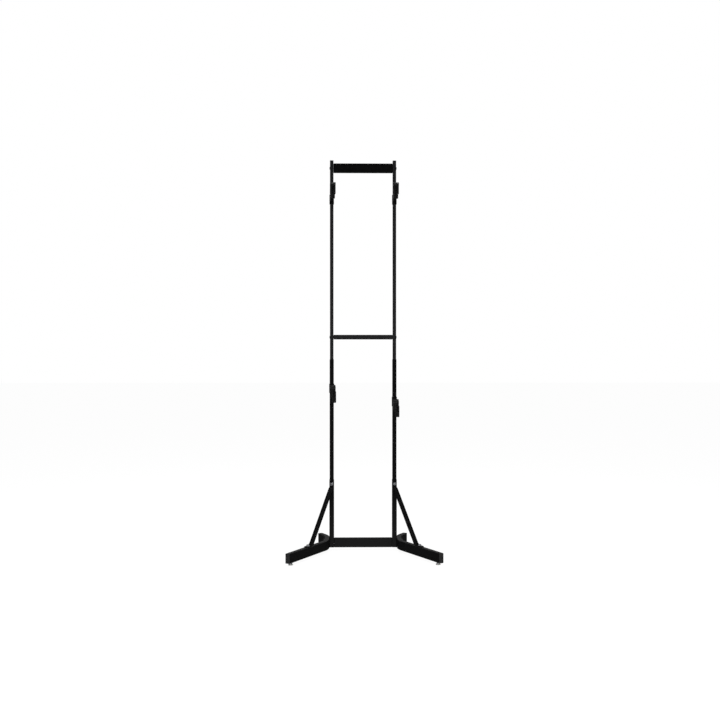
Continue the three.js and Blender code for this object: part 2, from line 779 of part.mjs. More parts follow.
// Frame pieces of one side, drawn for the right and mirrored for the left
function makeSide(side) {
  const group = new THREE.Group();
  group.position.set(side.sign * uprightX, uprightY, 0);
  group.scale.x = side.sign;
  const add = (name, geometry, finish) => {
    const mesh = part(`${side.name}_${name}`, geometry, finish);
    group.add(mesh);
    return mesh;
  };
  add("foot", footGeometry(), finishes.lowerPaint);
  add("lower_upright", lowerUprightGeometry(), finishes.lowerPaint);
  add("upper_upright", upperUprightGeometry(), finishes.upperPaint);
  add("brace", braceGeometry(), finishes.lowerPaint);

  const topCap = endCapGeometry(upperTubeSide, upperTubeSide, upperTubeWall, topCapThickness);
  add("upright_cap", topCap, finishes.plastic).position.z = upperTubeTop;

  const stations = footStations(0);
  for (const [end, station, turn] of [
    ["front", stations.at(-1), footBendAngle],
    ["rear", stations[0], Math.PI - footBendAngle],
  ]) {
    const cap = endCapGeometry(footTubeWidth, footTubeHeight, footTubeWall, footCapThickness)
      .rotateX(Math.PI / 2)
      .rotateZ(turn);
    add(`${end}_foot_cap`, cap, finishes.plastic).position.copy(station.place).setZ(footMiddleHeight);
    const place = levelerPlaces[end];
    const stud = add(`${end}_leveler_stud`, levelerStudGeometry(), finishes.zinc);
    stud.position.set(place.x, place.y, 0);
    const pad = add(`${end}_leveler_pad`, levelerPadGeometry(), finishes.nylon);
    pad.position.set(place.x, place.y, 0);
  }

  const bolt = (name, grip, place, turnX, turnY, head = washerAndHexHead()) => {
    const geometry = boltGeometry(grip, head).rotateX(turnX).rotateY(turnY);
    add(name, geometry, finishes.zinc).position.copy(place);
  };
  const outwards = Math.PI / 2;
  const baseGrip = footTubeWidth - footWeldDepth + basePostSide + seatGap + endPlateThickness;
  baseBoltHeights.forEach((z, row) => {
    const place = new THREE.Vector3(footX + footTubeWidth / 2, 0, z);
    bolt(`base_bolt_${row + 1}`, baseGrip, place, 0, outwards);
  });
  const upperGrip = upperTubeSide + endPlateThickness + seatGap;
  const upperFace = upperTubeSide / 2;
  const crossBarSeat = new THREE.Vector3(upperFace, 0, crossBarMiddle);
  const signPlateSeat = new THREE.Vector3(upperFace, 0, signPlateMiddle);
  bolt("cross_bar_bolt", upperGrip, crossBarSeat, 0, outwards, capHead());
  bolt("sign_plate_bolt", upperGrip, signPlateSeat, 0, outwards, capHead());
  const tabFace = new THREE.Vector3(0, upperTabY - braceTabThickness / 2, braceUpperBoltHeight);
  const braceGrip = basePostSide + braceTabThickness + seatGap;
  bolt("brace_upper_bolt", braceGrip, tabFace, Math.PI / 2, 0);
  const legFace = braceLowerBolt.clone().setZ(footTop + seatGap + braceTabThickness);
  bolt("brace_lower_bolt", footTubeWall + braceTabThickness + seatGap, legFace, 0, 0);
  const tubeBack = new THREE.Vector3(0, lowerTubeSide / 2, telescopeBoltHeight);
  const telescopeGrip = lowerTubeWall + telescopeClearance + upperTubeWall;
  bolt("joint_bolt", telescopeGrip, tubeBack, -Math.PI / 2, 0);
  return group;
}

// One arm with its cradle, strap, pin and clamp knob
function makeArm(arm, side) {
  const name = `${arm.tier}_${side.name}`;
  const group = new THREE.Group();
  group.position.set(side.sign * uprightX, uprightY, arm.contactHeight);
  group.scale.x = side.sign;
  const sleeveMiddle = sleeveTopAboveContact - sleeveHeight / 2;
  group.add(part(`${name}_arm`, armGeometry(arm.tubeSide), finishes.lowerPaint));

  const knob = part(`${name}_clamp_knob`, knobGeometry(), finishes.plastic);
  knob.position.set(0, arm.tubeSide / 2 + seatGap, sleeveMiddle);
  group.add(knob);

  const head = new THREE.Group();
  head.rotation.z = -armToeIn;
  const contactY = -contactDistance(arm.tubeSide);
  const turned = cradleGeometry().rotateX(Math.PI / 2).rotateZ(-Math.PI / 2);
  const cradle = part(`${name}_cradle`, turned, finishes.coating);
  cradle.position.y = contactY;
  const pinGeometry = rod(strapPinDiameter, cradleWidth)
    .rotateY(Math.PI / 2)
    .translate(-cradleWidth / 2, 0, 0);
  const pin = part(`${name}_strap_pin`, pinGeometry, finishes.zinc);
  pin.position.set(0, contactY - strapPinForward, -strapPinDrop);
  const strap = part(`${name}_strap`, strapGeometry(side.sign * arm.strapSway), finishes.strapRubber);
  strap.position.copy(pin.position);
  head.add(cradle, pin, strap);
  group.add(head);
  return group;
}

const sides = [
  { name: "left", sign: -1, lowerContactHeight: lowerLeftContactHeight },
  { name: "right", sign: 1, lowerContactHeight: lowerRightContactHeight },
];

const rack = new THREE.Group();
rack.name = "two_tier_bike_rack";

const baseBeam = crossMemberGeometry(baseBeamHeight, baseBeamDepth, basePostSide, [
  -baseBoltSpacing / 2,
  baseBoltSpacing / 2,
]);
const crossBar = crossMemberGeometry(crossBarHeight, upperTubeSide, upperTubeSide, [0]);
const signPlate = crossMemberGeometry(signPlateHeight, upperTubeSide, upperTubeSide, [0]);
for (const [name, geometry, height, finish] of [
  ["base_beam", baseBeam, footMiddleHeight, finishes.lowerPaint],
  ["cross_bar", crossBar, crossBarMiddle, finishes.upperPaint],
  ["sign_plate", signPlate, signPlateMiddle, finishes.lowerPaint],
]) {
  const mesh = part(name, geometry, finish);
  mesh.position.set(0, uprightY, height);
  rack.add(mesh);
}

for (const side of sides) {
  rack.add(makeSide(side));
  for (const arm of [
    { tier: "upper", tubeSide: upperTubeSide, contactHeight: upperContactHeight, strapSway: 0 },
    {
      tier: "lower",
      tubeSide: lowerTubeSide,
      contactHeight: side.lowerContactHeight,
      strapSway: lowerStrapSway,
    },
  ]) {
    rack.add(makeArm(arm, side));
  }
}

export default rack;
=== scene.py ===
"""Two tier bike rack: finishes, detailed pieces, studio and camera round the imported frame.

Metres. +Z is up, the arms point towards -Y, and +X is to the right seen from the arms' side.
"""

import logging
import math
from collections.abc import Iterable, Sequence
from dataclasses import dataclass, field
from enum import Enum

import bmesh
import bpy
from bpy.types import ID, Material, Mesh, Node, NodeSocket, NodeTree, Object
from mathutils import Matrix, Vector


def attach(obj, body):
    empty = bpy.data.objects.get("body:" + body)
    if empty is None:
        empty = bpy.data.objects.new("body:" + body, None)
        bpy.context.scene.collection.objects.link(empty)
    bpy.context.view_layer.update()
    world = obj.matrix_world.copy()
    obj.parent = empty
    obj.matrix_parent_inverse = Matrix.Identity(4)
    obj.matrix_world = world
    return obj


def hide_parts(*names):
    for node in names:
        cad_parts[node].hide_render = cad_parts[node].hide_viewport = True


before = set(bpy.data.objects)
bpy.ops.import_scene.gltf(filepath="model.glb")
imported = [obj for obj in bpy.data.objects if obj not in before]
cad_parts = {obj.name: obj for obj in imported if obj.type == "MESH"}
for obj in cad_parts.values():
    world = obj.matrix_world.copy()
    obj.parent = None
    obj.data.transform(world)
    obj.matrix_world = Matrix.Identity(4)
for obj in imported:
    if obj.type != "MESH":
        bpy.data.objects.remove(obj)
log = logging.getLogger("bike_rack")

MM = 0.001
GAP = 0.3 * MM  # what touching pieces keep between them
SPACING = 340 * MM  # between the uprights' centre lines
POST_SIDE, LOWER_SIDE, UPPER_SIDE = 25.4 * MM, 22.2 * MM, 19 * MM  # the three telescoping square tubes
CROSS_BAR_MIDDLE, SIGN_PLATE_MIDDLE = 1150.5 * MM, 2067 * MM  # heights above the floor
END_PLATE = 4 * MM  # thickness of the plates that close the cross members
STUD_SIDES, HEX_SIDES = 24, 6
CORNER_STEPS = 5  # of a round corner
BEVEL_STEPS = 3  # of a plate's round edges
MERGE_DISTANCE = 0.002 * MM
RIGHT, BACK, UP = Vector((1, 0, 0)), Vector((0, 1, 0)), Vector((0, 0, 1))
FLOAT, VECTOR, GEOMETRY = "NodeSocketFloat", "NodeSocketVector", "NodeSocketGeometry"
IDENTITY = Matrix.Identity(4)
WHITE = (1, 1, 1, 1)
Pair = tuple[float, float]
Pairs = list[Pair]
Triple = tuple[float, float, float]
Points = Sequence[Vector]
Edges = Sequence[tuple[int, int]]


class Named(Enum):
    """An enum whose members' names are words in node names."""

    @property
    def label(self) -> str:
        """The member's word."""
        return self.name.lower()


class Side(Named):
    """A side of the rack, seen from the arms' side. The value is the sign of its X."""

    LEFT = -1
    RIGHT = 1


class Tier(Named):
    """One of the two levels that a bicycle hangs on, counted from the floor."""

    UPPER = 2
    LOWER = 1


class FootEnd(Named):
    """An end of a foot. The value is the way along Y in which it points."""

    FRONT = -1
    REAR = 1


class SlotName(Enum):
    """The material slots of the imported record."""

    LOWER_PAINT = "lower_paint"
    UPPER_PAINT = "upper_paint"
    ZINC = "zinc_steel"
    BLACK_STEEL = "black_steel"
    PLASTIC = "black_plastic"
    NYLON = "glide_nylon"
    COATING = "cradle_coating"
    STRAP = "strap_rubber"


@dataclass
class NodeWriter:
    """Writes nodes and links into one shader or geometry tree."""

    tree: NodeTree

    def add(self, kind: str, settings: dict | None = None, **inputs: object) -> Node:
        """Adds a node, sets its properties and fills its inputs.

        Args:
            kind: The node's Blender class name.
            settings: Properties of the node itself.
            **inputs: Values, sockets or nodes by input name, with _ for a space, or inN for input N.

        Returns:
            The new node.
        """
        node = self.tree.nodes.new(kind)
        for key, value in (settings or {}).items():
            setattr(node, key, value)
        for key, value in inputs.items():
            numbered = key.startswith("in") and key[2:].isdigit()
            socket = node.inputs[int(key[2:])] if numbered else node.inputs[key.replace("_", " ")]
            if isinstance(value, Node):
                value = value.outputs[0]
            if isinstance(value, NodeSocket):
                self.tree.links.new(value, socket)
            else:
                socket.default_value = value
        return node

    def math(self, operation: str, first: object, second: object = 0.0) -> Node:
        """Adds a scalar Math node."""
        return self.add("ShaderNodeMath", {"operation": operation}, in0=first, in1=second)

    def times(self, first: object, second: object) -> Node:
        """Multiplies two numbers."""
        return self.math("MULTIPLY", first, second)

    def coordinates(self, output: str = "Object") -> NodeSocket:
        """The texture coordinate of that name."""
        return self.add("ShaderNodeTexCoord").outputs[output]

    def noise(self, place: object, scale: object, detail: float, roughness: float = 0.5) -> NodeSocket:
        """The value of a noise texture."""
        inputs = {"Vector": place, "Scale": scale, "Detail": detail, "Roughness": roughness}
        return self.add("ShaderNodeTexNoise", **inputs).outputs["Fac"]

    def remap(self, value: object, source: Pair, target: Pair = (0.0, 1.0), smooth: bool = False) -> Node:
        """Maps a number from one range onto another.

        Args:
            value: The number.
            source: The range it comes from.
            target: The range it goes to.
            smooth: Whether it is gentle at both ends.

        Returns:
            The node that maps it.
        """
        settings = {"interpolation_type": "SMOOTHSTEP" if smooth else "LINEAR"}
        ends = {"From_Min": source[0], "From_Max": source[1], "To_Min": target[0], "To_Max": target[1]}
        return self.add("ShaderNodeMapRange", settings, Value=value, **ends)

    def mix(self, share: object, first: object, second: object) -> NodeSocket:
        """Mixes two numbers by a share."""
        return self.add("ShaderNodeMix", {"data_type": "FLOAT"}, in0=share, in2=first, in3=second).outputs[0]

    def mix_colours(self, share: object, first: object, second: object) -> NodeSocket:
        """Mixes two colours by a share."""
        return self.add("ShaderNodeMix", {"data_type": "RGBA"}, in0=share, in6=first, in7=second).outputs[2]


def new_group(name: str, kind: str, inputs: dict[str, str], outputs: dict[str, str]) -> NodeWriter:
    """Makes an empty node group.

    Args:
        name: The group's name.
        kind: ShaderNodeTree or GeometryNodeTree.
        inputs: The socket class of each input, by name.
        outputs: The socket class of each output, by name.

    Returns:
        A writer on the new tree.
    """
    tree = bpy.data.node_groups.new(name, kind)
    for way, sockets in (("INPUT", inputs), ("OUTPUT", outputs)):
        for label, socket_type in sockets.items():
            tree.interface.new_socket(label, in_out=way, socket_type=socket_type)
    return NodeWriter(tree)


class SurfaceEffects:
    """Shader groups that all finishes share, each built once."""

    def __init__(self) -> None:
        """Builds the groups."""
        self.grain = self.build_grain()
        self.wear = self.build_wear()
        self.dust = self.build_dust()

    def build_grain(self) -> NodeTree:
        """Fine bumps over slow waves, as on powder coat, moulded plastic and dipped rubber.

        Returns:
            A group from Fine, Coarse and Balance to Height and Mask.
        """
        inputs = dict.fromkeys(("Fine", "Coarse", "Balance"), FLOAT)
        writer = new_group("surface_grain", "ShaderNodeTree", inputs, {"Height": FLOAT, "Mask": FLOAT})
        get = writer.add("NodeGroupInput").outputs
        place = writer.coordinates()
        fine = writer.noise(place, get["Fine"], detail=2.0, roughness=0.55)
        coarse = writer.noise(place, get["Coarse"], detail=3.0)
        writer.add("NodeGroupOutput", Height=writer.mix(get["Balance"], fine, coarse), Mask=coarse)
        return writer.tree

    def build_wear(self) -> NodeTree:
        """Short rubbed streaks along Z, as on steel that is handled and slid.

        Returns:
            A group from Amount to Mask.
        """
        streak_scale, patch_scale, stretch, rubbed = 45.0, 9.0, (1, 1, 0.1), (0.28, 0.42)
        writer = new_group("rubbed_streaks", "ShaderNodeTree", {"Amount": FLOAT}, {"Mask": FLOAT})
        amount = writer.add("NodeGroupInput").outputs["Amount"]
        place = writer.coordinates()
        drawn = writer.add("ShaderNodeVectorMath", {"operation": "MULTIPLY"}, in0=place, in1=stretch)
        streaks = writer.noise(drawn, streak_scale, detail=5.0, roughness=0.65)
        patches = writer.noise(place, patch_scale, detail=2.0)
        raised = writer.remap(writer.times(streaks, patches), rubbed)
        writer.add("NodeGroupOutput", Mask=writer.times(raised, amount))
        return writer.tree

    def build_dust(self) -> NodeTree:
        """A thin patchy film of dust on faces that look up.

        Returns:
            A group from Amount to Mask.
        """
        patch_scale, facing_up = 35.0, (0.5, 1.0)
        writer = new_group("settled_dust", "ShaderNodeTree", {"Amount": FLOAT}, {"Mask": FLOAT})
        amount = writer.add("NodeGroupInput").outputs["Amount"]
        normal = writer.add("ShaderNodeNewGeometry").outputs["Normal"]
        upwards = writer.add("ShaderNodeSeparateXYZ", Vector=normal).outputs["Z"]
        patches = writer.noise(writer.coordinates(), patch_scale, detail=6.0, roughness=0.7)
        film = writer.times(writer.remap(upwards, facing_up), patches)
        writer.add("NodeGroupOutput", Mask=writer.times(film, amount))
        return writer.tree


@dataclass(frozen=True)
class Finish:
    """One finish of the rack.

    Attributes:
        name: The material's name.
        slot: The record's slot that it stands for.
        colour: Linear colour of the clean surface.
        worn_colour: Linear colour where it is rubbed.
        dust_colour: Linear colour of settled dust on it.
        roughness: Roughness of the clean surface.
        swing: How far the roughness drifts over the surface.
        metallic: 1 for bare or plated metal, otherwise 0.
        fine: Frequency of the fine grain, per metre.
        coarse: Frequency of the slow waves, per metre.
        balance: Share of the slow waves in the bump.
        bump: Depth of the bump in metres.
        wear: How much of the surface is rubbed.
        dust: How much dust lies on faces that look up.
        sheen: Soft sheen of rubber, otherwise 0.
        see_through: Share of light that goes into the plastic, otherwise 0.
        mirror: Strength of the mirror-like share, 0.5 for plain dielectrics.
    """

    name: str
    slot: SlotName
    colour: Triple
    worn_colour: Triple
    dust_colour: Triple = (0.2, 0.19, 0.18)
    roughness: float = 0.4
    swing: float = 0.1
    metallic: float = 0.0
    fine: float = 900.0
    coarse: float = 60.0
    balance: float = 0.3
    bump: float = 0.00004
    wear: float = 0.2
    dust: float = 0.06
    sheen: float = 0.0
    see_through: float = 0.0
    mirror: float = 0.5

    DUST_ROUGHENS = 2.0
    USUAL_NOISE = (0.3, 0.7)

    def build(self, effects: SurfaceEffects) -> Material:
        """Makes the material.

        Args:
            effects: The shared shader groups.

        Returns:
            The finished material.
        """
        material = bpy.data.materials.new(self.name)
        material.use_nodes = True
        writer = NodeWriter(material.node_tree)
        writer.tree.nodes.clear()
        sizes = {"Fine": self.fine, "Coarse": self.coarse, "Balance": self.balance}
        grain = writer.add("ShaderNodeGroup", {"node_tree": effects.grain}, **sizes)
        bump = {"Strength": 1.0, "Distance": self.bump, "Height": grain.outputs["Height"]}
        wear = writer.add("ShaderNodeGroup", {"node_tree": effects.wear}, Amount=self.wear)
        dust = writer.add("ShaderNodeGroup", {"node_tree": effects.dust}, Amount=self.dust)
        rubbed = writer.mix_colours(wear, (*self.colour, 1), (*self.worn_colour, 1))
        drift = (self.roughness - self.swing, self.roughness + self.swing)
        drifting = writer.remap(grain.outputs["Mask"], self.USUAL_NOISE, drift)
        shader = writer.add(
            "ShaderNodeBsdfPrincipled",
            Base_Color=writer.mix_colours(dust, rubbed, (*self.dust_colour, 1)),
            Roughness=writer.math("ADD", drifting, writer.times(dust, self.DUST_ROUGHENS)),
            Metallic=self.metallic,
            Normal=writer.add("ShaderNodeBump", **bump),
            Sheen_Weight=self.sheen,
            Subsurface_Weight=self.see_through,
            Specular_IOR_Level=self.mirror,
        )
        writer.add("ShaderNodeOutputMaterial", Surface=shader)
        return material


FINISHES = (
    Finish(
        "satin_black_powder_coat", SlotName.LOWER_PAINT, (0.0022, 0.0022, 0.0024), (0.0042, 0.0042, 0.0045),
        roughness=0.34, swing=0.06, bump=0.00002, dust=0.02, mirror=0.14,
    ),
    # The upper tubes' coat is the same black powder coat as the lower parts' coat, with its colours painted
    # lighter to stand for the light that the upper tubes catch.
    Finish(
        "matt_black_powder_coat", SlotName.UPPER_PAINT, (0.0088, 0.0088, 0.0094), (0.013, 0.013, 0.0138),
        roughness=0.46, swing=0.07, bump=0.00002, wear=0.3, dust=0.02, mirror=0.2,
    ),
    Finish(
        "zinc_plate", SlotName.ZINC, (0.42, 0.43, 0.45), (0.3, 0.3, 0.31),
        metallic=1.0, roughness=0.33, fine=2600.0, coarse=240.0, bump=0.000012, wear=0.5,
    ),
    Finish(
        "blackened_steel", SlotName.BLACK_STEEL, (0.006, 0.006, 0.0064), (0.03, 0.03, 0.03),
        roughness=0.42, fine=2600.0, coarse=240.0, bump=0.000012, wear=0.4, dust=0.03, mirror=0.25,
    ),
    Finish(
        "moulded_black_plastic", SlotName.PLASTIC, (0.006, 0.006, 0.0064), (0.012, 0.012, 0.012),
        roughness=0.5, mirror=0.22, fine=2400.0, coarse=140.0, bump=0.00003, wear=0.25,
    ),
    Finish(
        "natural_nylon", SlotName.NYLON, (0.46, 0.455, 0.43), (0.32, 0.31, 0.29), (0.12, 0.11, 0.1),
        roughness=0.45, fine=1500.0, bump=0.00003, wear=0.4, dust=0.3, see_through=0.12,
    ),
    Finish(
        "dipped_rubber", SlotName.COATING, (0.0045, 0.0045, 0.0047), (0.009, 0.009, 0.009),
        roughness=0.56, mirror=0.2, fine=700.0, coarse=90.0, balance=0.5, bump=0.00008, wear=0.3, sheen=0.03,
    ),
    Finish(
        "moulded_strap_rubber", SlotName.STRAP, (0.0036, 0.0036, 0.0038), (0.009, 0.009, 0.0087),
        roughness=0.5, mirror=0.18, fine=1800.0, coarse=120.0, bump=0.00004, wear=0.35, sheen=0.03,
    ),
)


@dataclass(frozen=True)
class Section:
    """A rounded rectangle, the cross-section of a tube, tab or cap."""

    width: float
    height: float
    radius: float

    SUPPORT_SHARE, SUPPORT_LIMIT = 0.25, 0.4 * MM
    LEAST_RADIUS = 0.2 * MM

    def outline(self) -> Pairs:
        """The outline's points, anticlockwise, with a support point beside each corner.

        Returns:
            Pairs along the two axes. Every section has the same number of points.
        """
        points = []
        beside = min(self.radius * self.SUPPORT_SHARE, self.SUPPORT_LIMIT)
        for corner, (x_sign, y_sign) in enumerate(((1, 1), (-1, 1), (-1, -1), (1, -1))):
            centre = (x_sign * (self.width / 2 - self.radius), y_sign * (self.height / 2 - self.radius))
            turn = 90 * corner
            arc = arc_points(centre, self.radius, turn, turn + 90, CORNER_STEPS)
            start, end = math.radians(turn), math.radians(turn + 90)
            before = (arc[0][0] + beside * math.sin(start), arc[0][1] - beside * math.cos(start))
            after = (arc[-1][0] - beside * math.sin(end), arc[-1][1] + beside * math.cos(end))
            points += [before, *arc, after]
        return points

    def shrunk(self, by: float) -> "Section":
        """The section inset by a wall or a bevel."""
        radius = max(self.radius - by, self.LEAST_RADIUS)
        return Section(self.width - 2 * by, self.height - 2 * by, radius)


@dataclass(frozen=True)
class Station:
    """The centre and the two axes of a section on a path, which runs along across x up."""

    place: Vector
    across: Vector
    up: Vector

    def ring(self, section: Section) -> list[Vector]:
        """The section's outline at this station."""
        return [self.place + self.across * x + self.up * y for x, y in section.outline()]


def turns(count: int) -> list[float]:
    """Angles that part a full turn evenly."""
    return [2 * math.pi * step / count for step in range(count)]


def on_circle(radius: float, height: float, angles: Iterable[float]) -> list[Vector]:
    """Points round Z."""
    return [Vector((radius * math.cos(a), radius * math.sin(a), height)) for a in angles]


def eased(share: float) -> float:
    """A share from 0 to 1 that starts and ends gently."""
    return share * share * (3 - 2 * share)


def arc_points(centre: Pair, radius: float, start: float, end: float, steps: int) -> Pairs:
    """Points on an arc from one angle in degrees to another, both ends among them."""
    angles = [math.radians(start + (end - start) * step / steps) for step in range(steps + 1)]
    return [(centre[0] + radius * math.cos(a), centre[1] + radius * math.sin(a)) for a in angles]


def rounded_disc(radius: float, bottom: float, top: float, edge: float) -> Pairs:
    """The profile of a disc or pin with rounded rims, for a lathe.

    Args:
        radius: The disc's radius.
        bottom: Where it starts.
        top: Where it ends.
        edge: Radius of both rims.

    Returns:
        Pairs of radius and height, six in all.
    """
    halfway = edge * 0.3
    rim = [(radius - edge, 0), (radius - halfway, halfway), (radius, edge)]
    return [(r, bottom + z) for r, z in rim] + [(r, top - z) for r, z in reversed(rim)]


@dataclass
class Shell:
    """Points and faces that grow into one mesh."""

    points: list[Vector] = field(default_factory=list)
    faces: list[tuple[int, ...]] = field(default_factory=list)

    def join(self, first: list[int], second: list[int]) -> None:
        """Joins two rings of equal count with quads that face outwards along the way of travel.

        Args:
            first: The point numbers of one ring.
            second: Those of the ring after it.
        """
        for step in range(len(first)):
            after = (step + 1) % len(first)
            self.faces.append((first[step], first[after], second[after], second[step]))

    def skin(self, rings: Sequence[Points], closed: bool = True) -> list[list[int]]:
        """Skins a row of rings.

        Args:
            rings: The rings in the way of travel.
            closed: Whether both ends get a flat face.

        Returns:
            The point numbers of each ring.
        """
        numbers = []
        for ring in rings:
            first = len(self.points)
            self.points += [Vector(point) for point in ring]
            numbers.append(list(range(first, len(self.points))))
        for first, second in zip(numbers, numbers[1:]):
            self.join(first, second)
        if closed:
            self.faces += [tuple(reversed(numbers[0])), tuple(numbers[-1])]
        return numbers

    def tube(self, stations: Sequence[Station], section: Section, wall: float) -> "Shell":
        """Skins a hollow tube with open ends.

        Args:
            stations: The stations of its centre line.
            section: Its outer section.
            wall: Its wall thickness.

        Returns:
            The shell.
        """
        inside = section.shrunk(wall)
        outer = self.skin([station.ring(section) for station in stations], closed=False)
        inner = self.skin([station.ring(inside) for station in reversed(stations)], closed=False)
        self.join(inner[-1], outer[0])
        self.join(outer[-1], inner[0])
        return self

    def bevelled_prism(self, ends: Sequence[Station], section: Section, bevel: float) -> "Shell":
        """Skins a solid prism whose two ends are rounded.

        Args:
            ends: The middle of each end face.
            section: The full section.
            bevel: How far the rounding reaches in.

        Returns:
            The shell.
        """
        start, end = ends
        along = (end.place - start.place).normalized()
        steps = [math.radians(angle) for angle in (0, 30, 60, 90)]
        rings = []
        for station, way, angles in ((start, along, steps), (end, -along, reversed(steps))):
            for angle in angles:
                inner = section.shrunk(bevel * (1 - math.sin(angle)))
                place = station.place + way * bevel * (1 - math.cos(angle))
                rings.append(Station(place, station.across, station.up).ring(inner))
        self.skin(rings)
        return self

    def lathe(self, base: Matrix, profile: Pairs, sides: int) -> "Shell":
        """Turns a profile round the base's Z axis, and closes both ends.

        Args:
            base: Where the axis stands.
            profile: Pairs of radius and height, in the way of travel.
            sides: How many sides the round has.

        Returns:
            The shell.
        """
        rings = [on_circle(radius, height, turns(sides)) for radius, height in profile]
        self.skin([[base @ point for point in ring] for ring in rings])
        return self

    def mesh(self, matrix: Matrix = IDENTITY, crease: float = 32.0) -> Mesh:
        """Makes the mesh.

        Args:
            matrix: Places the points in the row frame. A mirroring one turns the faces back out.
            crease: Edges sharper than this many degrees stay sharp.

        Returns:
            A mesh with its place in its points.
        """
        mirrored = matrix.to_3x3().determinant() < 0
        faces = [tuple(reversed(face)) if mirrored else face for face in self.faces]
        mesh = bpy.data.meshes.new("shell")
        mesh.from_pydata([matrix @ point for point in self.points], [], faces)
        soften(mesh, crease)
        return mesh


@dataclass
class Palette:
    """All the finishes of the rack, built once on the shared shader groups."""

    effects: SurfaceEffects
    built: dict[SlotName, Material] = field(default_factory=dict)

    def build(self) -> None:
        """Builds every finish."""
        for finish in FINISHES:
            self.built[finish.slot] = finish.build(self.effects)
            log.info("finish %s", finish.name)

    def dress(self, piece: Object, slot: SlotName) -> None:
        """Gives a piece the one finish of its slot.

        Args:
            piece: The piece.
            slot: Its material slot.
        """
        piece.data.materials.clear()
        piece.data.materials.append(self.built[slot])


def soften(mesh: Mesh, crease: float) -> None:
    """Smooths a mesh but for its sharp edges.

    Args:
        mesh: The mesh, which is changed.
        crease: Edges sharper than this many degrees stay sharp.
    """
    mesh.validate()
    mesh.shade_smooth()
    mesh.set_sharp_from_angle(angle=math.radians(crease))
    mesh.update()


def link_piece(name: str, data: ID) -> Object:
    """Puts data into the scene as an object at the origin.

    Args:
        name: The object's name.
        data: A mesh, a curve, a lamp or a camera.

    Returns:
        The new object.
    """
    piece = bpy.data.objects.new(name, data)
    bpy.context.scene.collection.objects.link(piece)
    return piece


def evaluated_mesh(source: Object) -> Mesh:
    """The mesh that a curve or a modifier gives."""
    graph = bpy.context.evaluated_depsgraph_get()
    return bpy.data.meshes.new_from_object(source.evaluated_get(graph))


def settle(mesh: Mesh, matrix: Matrix) -> None:
    """Moves a mesh to its place, and turns its faces back out where that mirrors it.

    Args:
        mesh: The mesh, which is changed.
        matrix: Its place in the row frame.
    """
    mesh.transform(matrix)
    if matrix.to_3x3().determinant() < 0:
        mesh.flip_normals()


def joined(parts: Sequence[Mesh]) -> Mesh:
    """Joins meshes.

    Args:
        parts: The meshes, which stay as they are.

    Returns:
        All of them as one mesh.
    """
    mesh, bm = bpy.data.meshes.new("joined"), bmesh.new()
    for part in parts:
        bm.from_mesh(part)
    bm.to_mesh(mesh)
    bm.free()
    return mesh


def plate(loops: list[Pairs], thickness: float, bevel: float, matrix: Matrix) -> Mesh:
    """Makes a flat plate with round edges from closed outlines, of which the later ones are holes.

    Args:
        loops: The outlines in the plane z = 0.
        thickness: Full thickness, with z = 0 in its middle.
        bevel: Radius of the round edges. The outline keeps its size.
        matrix: Places the plate in the row frame.

    Returns:
        The plate's mesh.
    """
    curve = bpy.data.curves.new("plate", "CURVE")
    curve.dimensions = "2D"
    curve.fill_mode = "BOTH"
    curve.extrude = thickness / 2 - bevel
    curve.bevel_depth = bevel
    curve.bevel_resolution = BEVEL_STEPS
    curve.offset = -bevel
    for loop in loops:
        spline = curve.splines.new("POLY")
        spline.points.add(len(loop) - 1)
        for point, (x, y) in zip(spline.points, loop):
            point.co = (x, y, 0, 1)
        spline.use_cyclic_u = True
    source = link_piece("plate", curve)
    mesh = evaluated_mesh(source)
    bpy.data.objects.remove(source)
    bm = bmesh.new()
    bm.from_mesh(mesh)
    bmesh.ops.remove_doubles(bm, verts=bm.verts, dist=MERGE_DISTANCE)
    bmesh.ops.recalc_face_normals(bm, faces=bm.faces)
    bm.to_mesh(mesh)
    bm.free()
    mesh.materials.clear()
    settle(mesh, matrix)
    return mesh


def markers(points: Points, edges: Edges = (), axes: Points = (), **numbers: Sequence[float]) -> Mesh:
    """Makes a mesh of points and edges that a geometry tree reads.

    Args:
        points: Where something is placed.
        edges: Pairs of point numbers, where the tree follows a line.
        axes: Each point's direction, for its axis attribute.
        **numbers: A number for each point, by attribute name.

    Returns:
        The mesh.
    """
    mesh = bpy.data.meshes.new("markers")
    mesh.from_pydata([tuple(point) for point in points], list(edges), [])
    if axes:
        layer = mesh.attributes.new("axis", "FLOAT_VECTOR", "POINT")
        layer.data.foreach_set("vector", [part for axis in axes for part in axis])
    for label, values in numbers.items():
        mesh.attributes.new(label, "FLOAT", "POINT").data.foreach_set("value", list(values))
    return mesh


